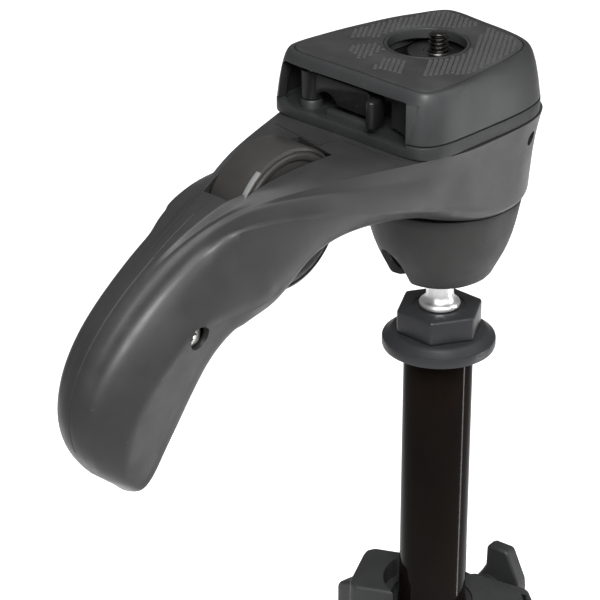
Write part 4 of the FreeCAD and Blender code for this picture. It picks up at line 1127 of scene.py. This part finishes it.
def make_leg_collar(number, section, at, body):
    outer = TUBE_R[section] + 2.3
    throat = TUBE_R[section + 1] + 0.06
    seat = TUBE_R[section] + 0.02
    top, end = COLLAR_TOP[section], COLLAR_END[section]
    pivot = outer + 2.6
    middle = (top + end) / 2
    profile = [(throat, end), (outer - 1.6, end), (outer - 0.6, end + 0.5), (outer - 0.2, end + 1.6),
               (outer, end + 3),
               (outer, middle - 8.2), (outer - 0.25, middle - 7.9), (outer - 0.25, middle + 7.9),
               (outer, middle + 8.2),
               (outer, top - 1.5), (outer - 0.4, top - 0.5), (outer - 1.0, top), (seat, top),
               (seat, TUBE_END[section] - 0.05), (throat, TUBE_END[section] - 0.05)]
    ring = lathe("leg_%d_clamp_%d" % (number, section + 1), profile, 96, place=at, loop=True)
    for foot in (middle - LEVER_HALF - 3.3, middle + LEVER_HALF + 0.3):
        lug = [(outer - 1.5, -2.4), (pivot, -2.4)]
        lug += [(pivot + 2.4 * math.cos(math.radians(t)),
                 2.4 * math.sin(math.radians(t))) for t in range(-75, 76, 15)]
        lug += [(pivot, 2.4), (outer - 1.5, 2.4)]
        block = prism("lug", lug, foot, foot + 3, place=at)
        round_edges(block, 0.35, 2, 40)
        unite(ring, block)
    pin = lathe("pin", [(1.1, middle - LEVER_HALF - 1), (1.1, middle + LEVER_HALF + 1)], 24, place=at,
                centre=(pivot, 0, 0))
    unite(ring, pin)
    place_piece(ring, "leg_%d_collar_%d" % (number, section + 1), body, "collar_plastic", 38)


def make_leg_lever(number, section, at, body):
    """Flip lever: a curved strap with a thickened, rounded finger end."""
    inner = TUBE_R[section] + 2.3 + 0.3
    pivot = TUBE_R[section] + 2.3 + 2.6
    middle = (COLLAR_TOP[section] + COLLAR_END[section]) / 2
    rings = []
    steps = 30
    for k in range(steps + 1):
        t = k / steps
        a = math.radians(6 + 109 * t)
        thick = 2.3 + 0.7 * math.sin(math.pi * min(1.0, t * 1.15)) - 0.9 * max(0.0, (t - 0.9) / 0.1)
        half = LEVER_HALF - 1.6 * math.sin(math.pi * t) ** 2 - 0.8 * max(0.0, (t - 0.92) / 0.08)
        ring = []
        for r, z in ((inner, -half + 0.5), (inner + 0.5, -half), (inner + thick - 0.7, -half),
                     (inner + thick, -half + 0.9),
                     (inner + thick, half - 0.9), (inner + thick - 0.7, half), (inner + 0.5, half),
                     (inner, half - 0.5)):
            ring.append((r * math.cos(a), r * math.sin(a), middle + z))
        rings.append(ring)
    strap = rings_object("leg_%d_flip_lever_%d" % (number, section + 1), rings, place=at)
    eye = lathe("eye",
                [(2.0, middle - LEVER_HALF), (2.3, middle - LEVER_HALF + 0.3),
                 (2.3, middle + LEVER_HALF - 0.3),
                        (2.0, middle + LEVER_HALF)], 32, place=at, centre=(pivot, 0, 0))
    unite(strap, eye)
    cut(strap, lathe("bore", [(1.15, middle - 20), (1.15, middle + 20)], 24, place=at, centre=(pivot, 0, 0)))
    place_piece(strap, "leg_%d_lever_%d" % (number, section + 1), body, "flip_plastic", 40)


def make_leg_foot(number, at, body):
    profile = [(7.85, -314.05), (7.85, -302), (8.9, -302), (9.4, -302.5), (9.6, -303.4)]
    for z in (-306.0, -309.0, -312.0):
        profile += [(9.6, z + 0.7), (9.15, z + 0.35), (9.15, z - 0.35), (9.6, z - 0.7)]
    for step in range(13):
        a = math.radians(7.5 * step)
        profile.append((9.6 * math.cos(a), -318 - 9.6 * math.sin(a)))
    foot = lathe("leg_%d_rubber_foot" % number, profile + [(0, -314.05)], 96, place=at)
    place_piece(foot, "leg_%d_foot" % number, body, "foot_rubber", 35)


def make_legs():
    for number, angle in enumerate(LOBE_ANGLES, 1):
        at = leg_placer(angle)
        bodies = ["leg_%d" % number, "leg_%d_mid" % number, "leg_%d_low" % number]
        make_leg_top(number, at)
        for section in range(3):
            make_leg_tube(number, section, at, bodies[section])
        for section in range(2):
            make_leg_collar(number, section, at, bodies[section])
            make_leg_lever(number, section, at, "leg_%d_lock_%d" % (number, section + 1))
        make_leg_foot(number, at, bodies[2])


# ---- stage --------------------------------------------------------------------------------
LENS = 156
SENSOR = 36
CAMERA_SPOT = (469.8, -558.6, 378.6)
CAMERA_TURN = 43.5
CAMERA_PITCH = 26.5
AIM = (0, -40, 50)
COLUMN_AIM = (0, 0, -60)
# Name, place, what it points at, width and height in metres, watts.
LIGHTS = (
    ("key_box", (477, -517, 718), AIM, (0.4, 0.4), 17),
    ("side_box", (854, -116, 458), AIM, (0.35, 0.5), 2.9),
    ("back_box", (571, 436, 640), AIM, (0.35, 0.35), 1.2),
    ("top_box", (94, -134, 990), AIM, (0.4, 0.4), 4.5),
    ("front_box", (330, -890, 330), AIM, (0.4, 0.4), 1.6),
    ("column_strip", (400, 355, -60), COLUMN_AIM, (0.035, 0.7), 1.6))
SKY = 0.2
FLOOR_REACH = 6
FLOOR_DROP = 0.0005
# The floor glows with painted light: a pool of full glow round BACK_SPOT, fading to the fainter FLOOR_GLOW
# further out.
BACK_SPOT = (-0.68, 0.70, 0)     # middle of the floor that shows behind the tripod
POOL_FULL = 0.7
POOL_EDGE = 1.3
POOL_GLOW = 1.0
FLOOR_GLOW = 0.35


def make_camera():
    """A view from the right and behind the grip, looking down at the head."""
    data = bpy.data.cameras.new("camera")
    data.lens = LENS
    data.sensor_width = SENSOR
    camera = bpy.data.objects.new("camera", data)
    camera.location = head(*CAMERA_SPOT)
    turn, pitch = math.radians(CAMERA_TURN), math.radians(CAMERA_PITCH)
    back = Vector((math.sin(turn) * math.cos(pitch), -math.cos(turn) * math.cos(pitch), math.sin(pitch)))
    camera.rotation_mode = "QUATERNION"
    camera.rotation_quaternion = (-back).to_track_quat("-Z", "Y")
    data.clip_start = 0.01
    data.clip_end = 20
    bpy.context.scene.collection.objects.link(camera)
    bpy.context.scene.camera = camera


def area_light(name, spot, aim, size, power):
    data = bpy.data.lights.new(name, "AREA")
    data.shape = "RECTANGLE"
    data.size, data.size_y = size
    data.energy = power
    light = bpy.data.objects.new(name, data)
    light.location = spot
    light.rotation_mode = "QUATERNION"
    light.rotation_quaternion = (Vector(aim) - Vector(spot)).to_track_quat("-Z", "Y")
    bpy.context.scene.collection.objects.link(light)


def make_stage():
    corners = [(x * FLOOR_REACH, y * FLOOR_REACH, -FLOOR_DROP) for x,
               y in ((-1, -1), (1, -1), (1, 1), (-1, 1))]
    floor = mesh_object("floor", corners, [(0, 1, 2, 3)])
    paint = Paint("paper")
    paint.feed(paint.mixed(paint.noise(3.0), (0.66, 0.66, 0.66), (0.68, 0.68, 0.68)), "Base Color")
    paint.inputs["Roughness"].default_value = 0.9
    # Painted light: the floor glows, fully in a pool round BACK_SPOT and fainter elsewhere.
    paint.inputs["Emission Color"].default_value = (1, 1, 1, 1)
    away = paint.nodes.new("ShaderNodeVectorMath")
    away.operation = "DISTANCE"
    away.inputs[1].default_value = BACK_SPOT
    paint.link(paint.where, away.inputs[0])
    painted_glow_pool = paint.add("MapRange", From_Min=POOL_FULL, From_Max=POOL_EDGE, To_Min=POOL_GLOW, To_Max=FLOOR_GLOW)
    painted_glow_pool.interpolation_type = "SMOOTHSTEP"
    paint.link(away.outputs["Value"], painted_glow_pool.inputs["Value"])
    paint.feed(painted_glow_pool.outputs["Result"], "Emission Strength")
    floor.data.materials.append(paint.material)
    world = bpy.data.worlds.new("studio")
    world.use_nodes = True
    world.node_tree.nodes["Background"].inputs["Color"].default_value = (1, 1, 1, 1)
    world.node_tree.nodes["Background"].inputs["Strength"].default_value = SKY
    bpy.context.scene.world = world
    bpy.context.scene.view_settings.view_transform = "Standard"
    for name, spot, aim, size, power in LIGHTS:
        area_light(name, head(*spot), head(*aim), size, power)


def main():
    dress_nodes(MATERIALS)
    make_camera()
    make_stage()
    make_plate_shell()
    make_pad()
    make_screw()
    make_carrier()
    make_tray()
    make_lever()
    make_body()
    make_wheel()
    make_index()
    make_cup()
    make_stem()
    make_hex()
    make_flange()
    make_column()
    make_shoulder()
    make_bush()
    make_knob()
    make_legs()


main()
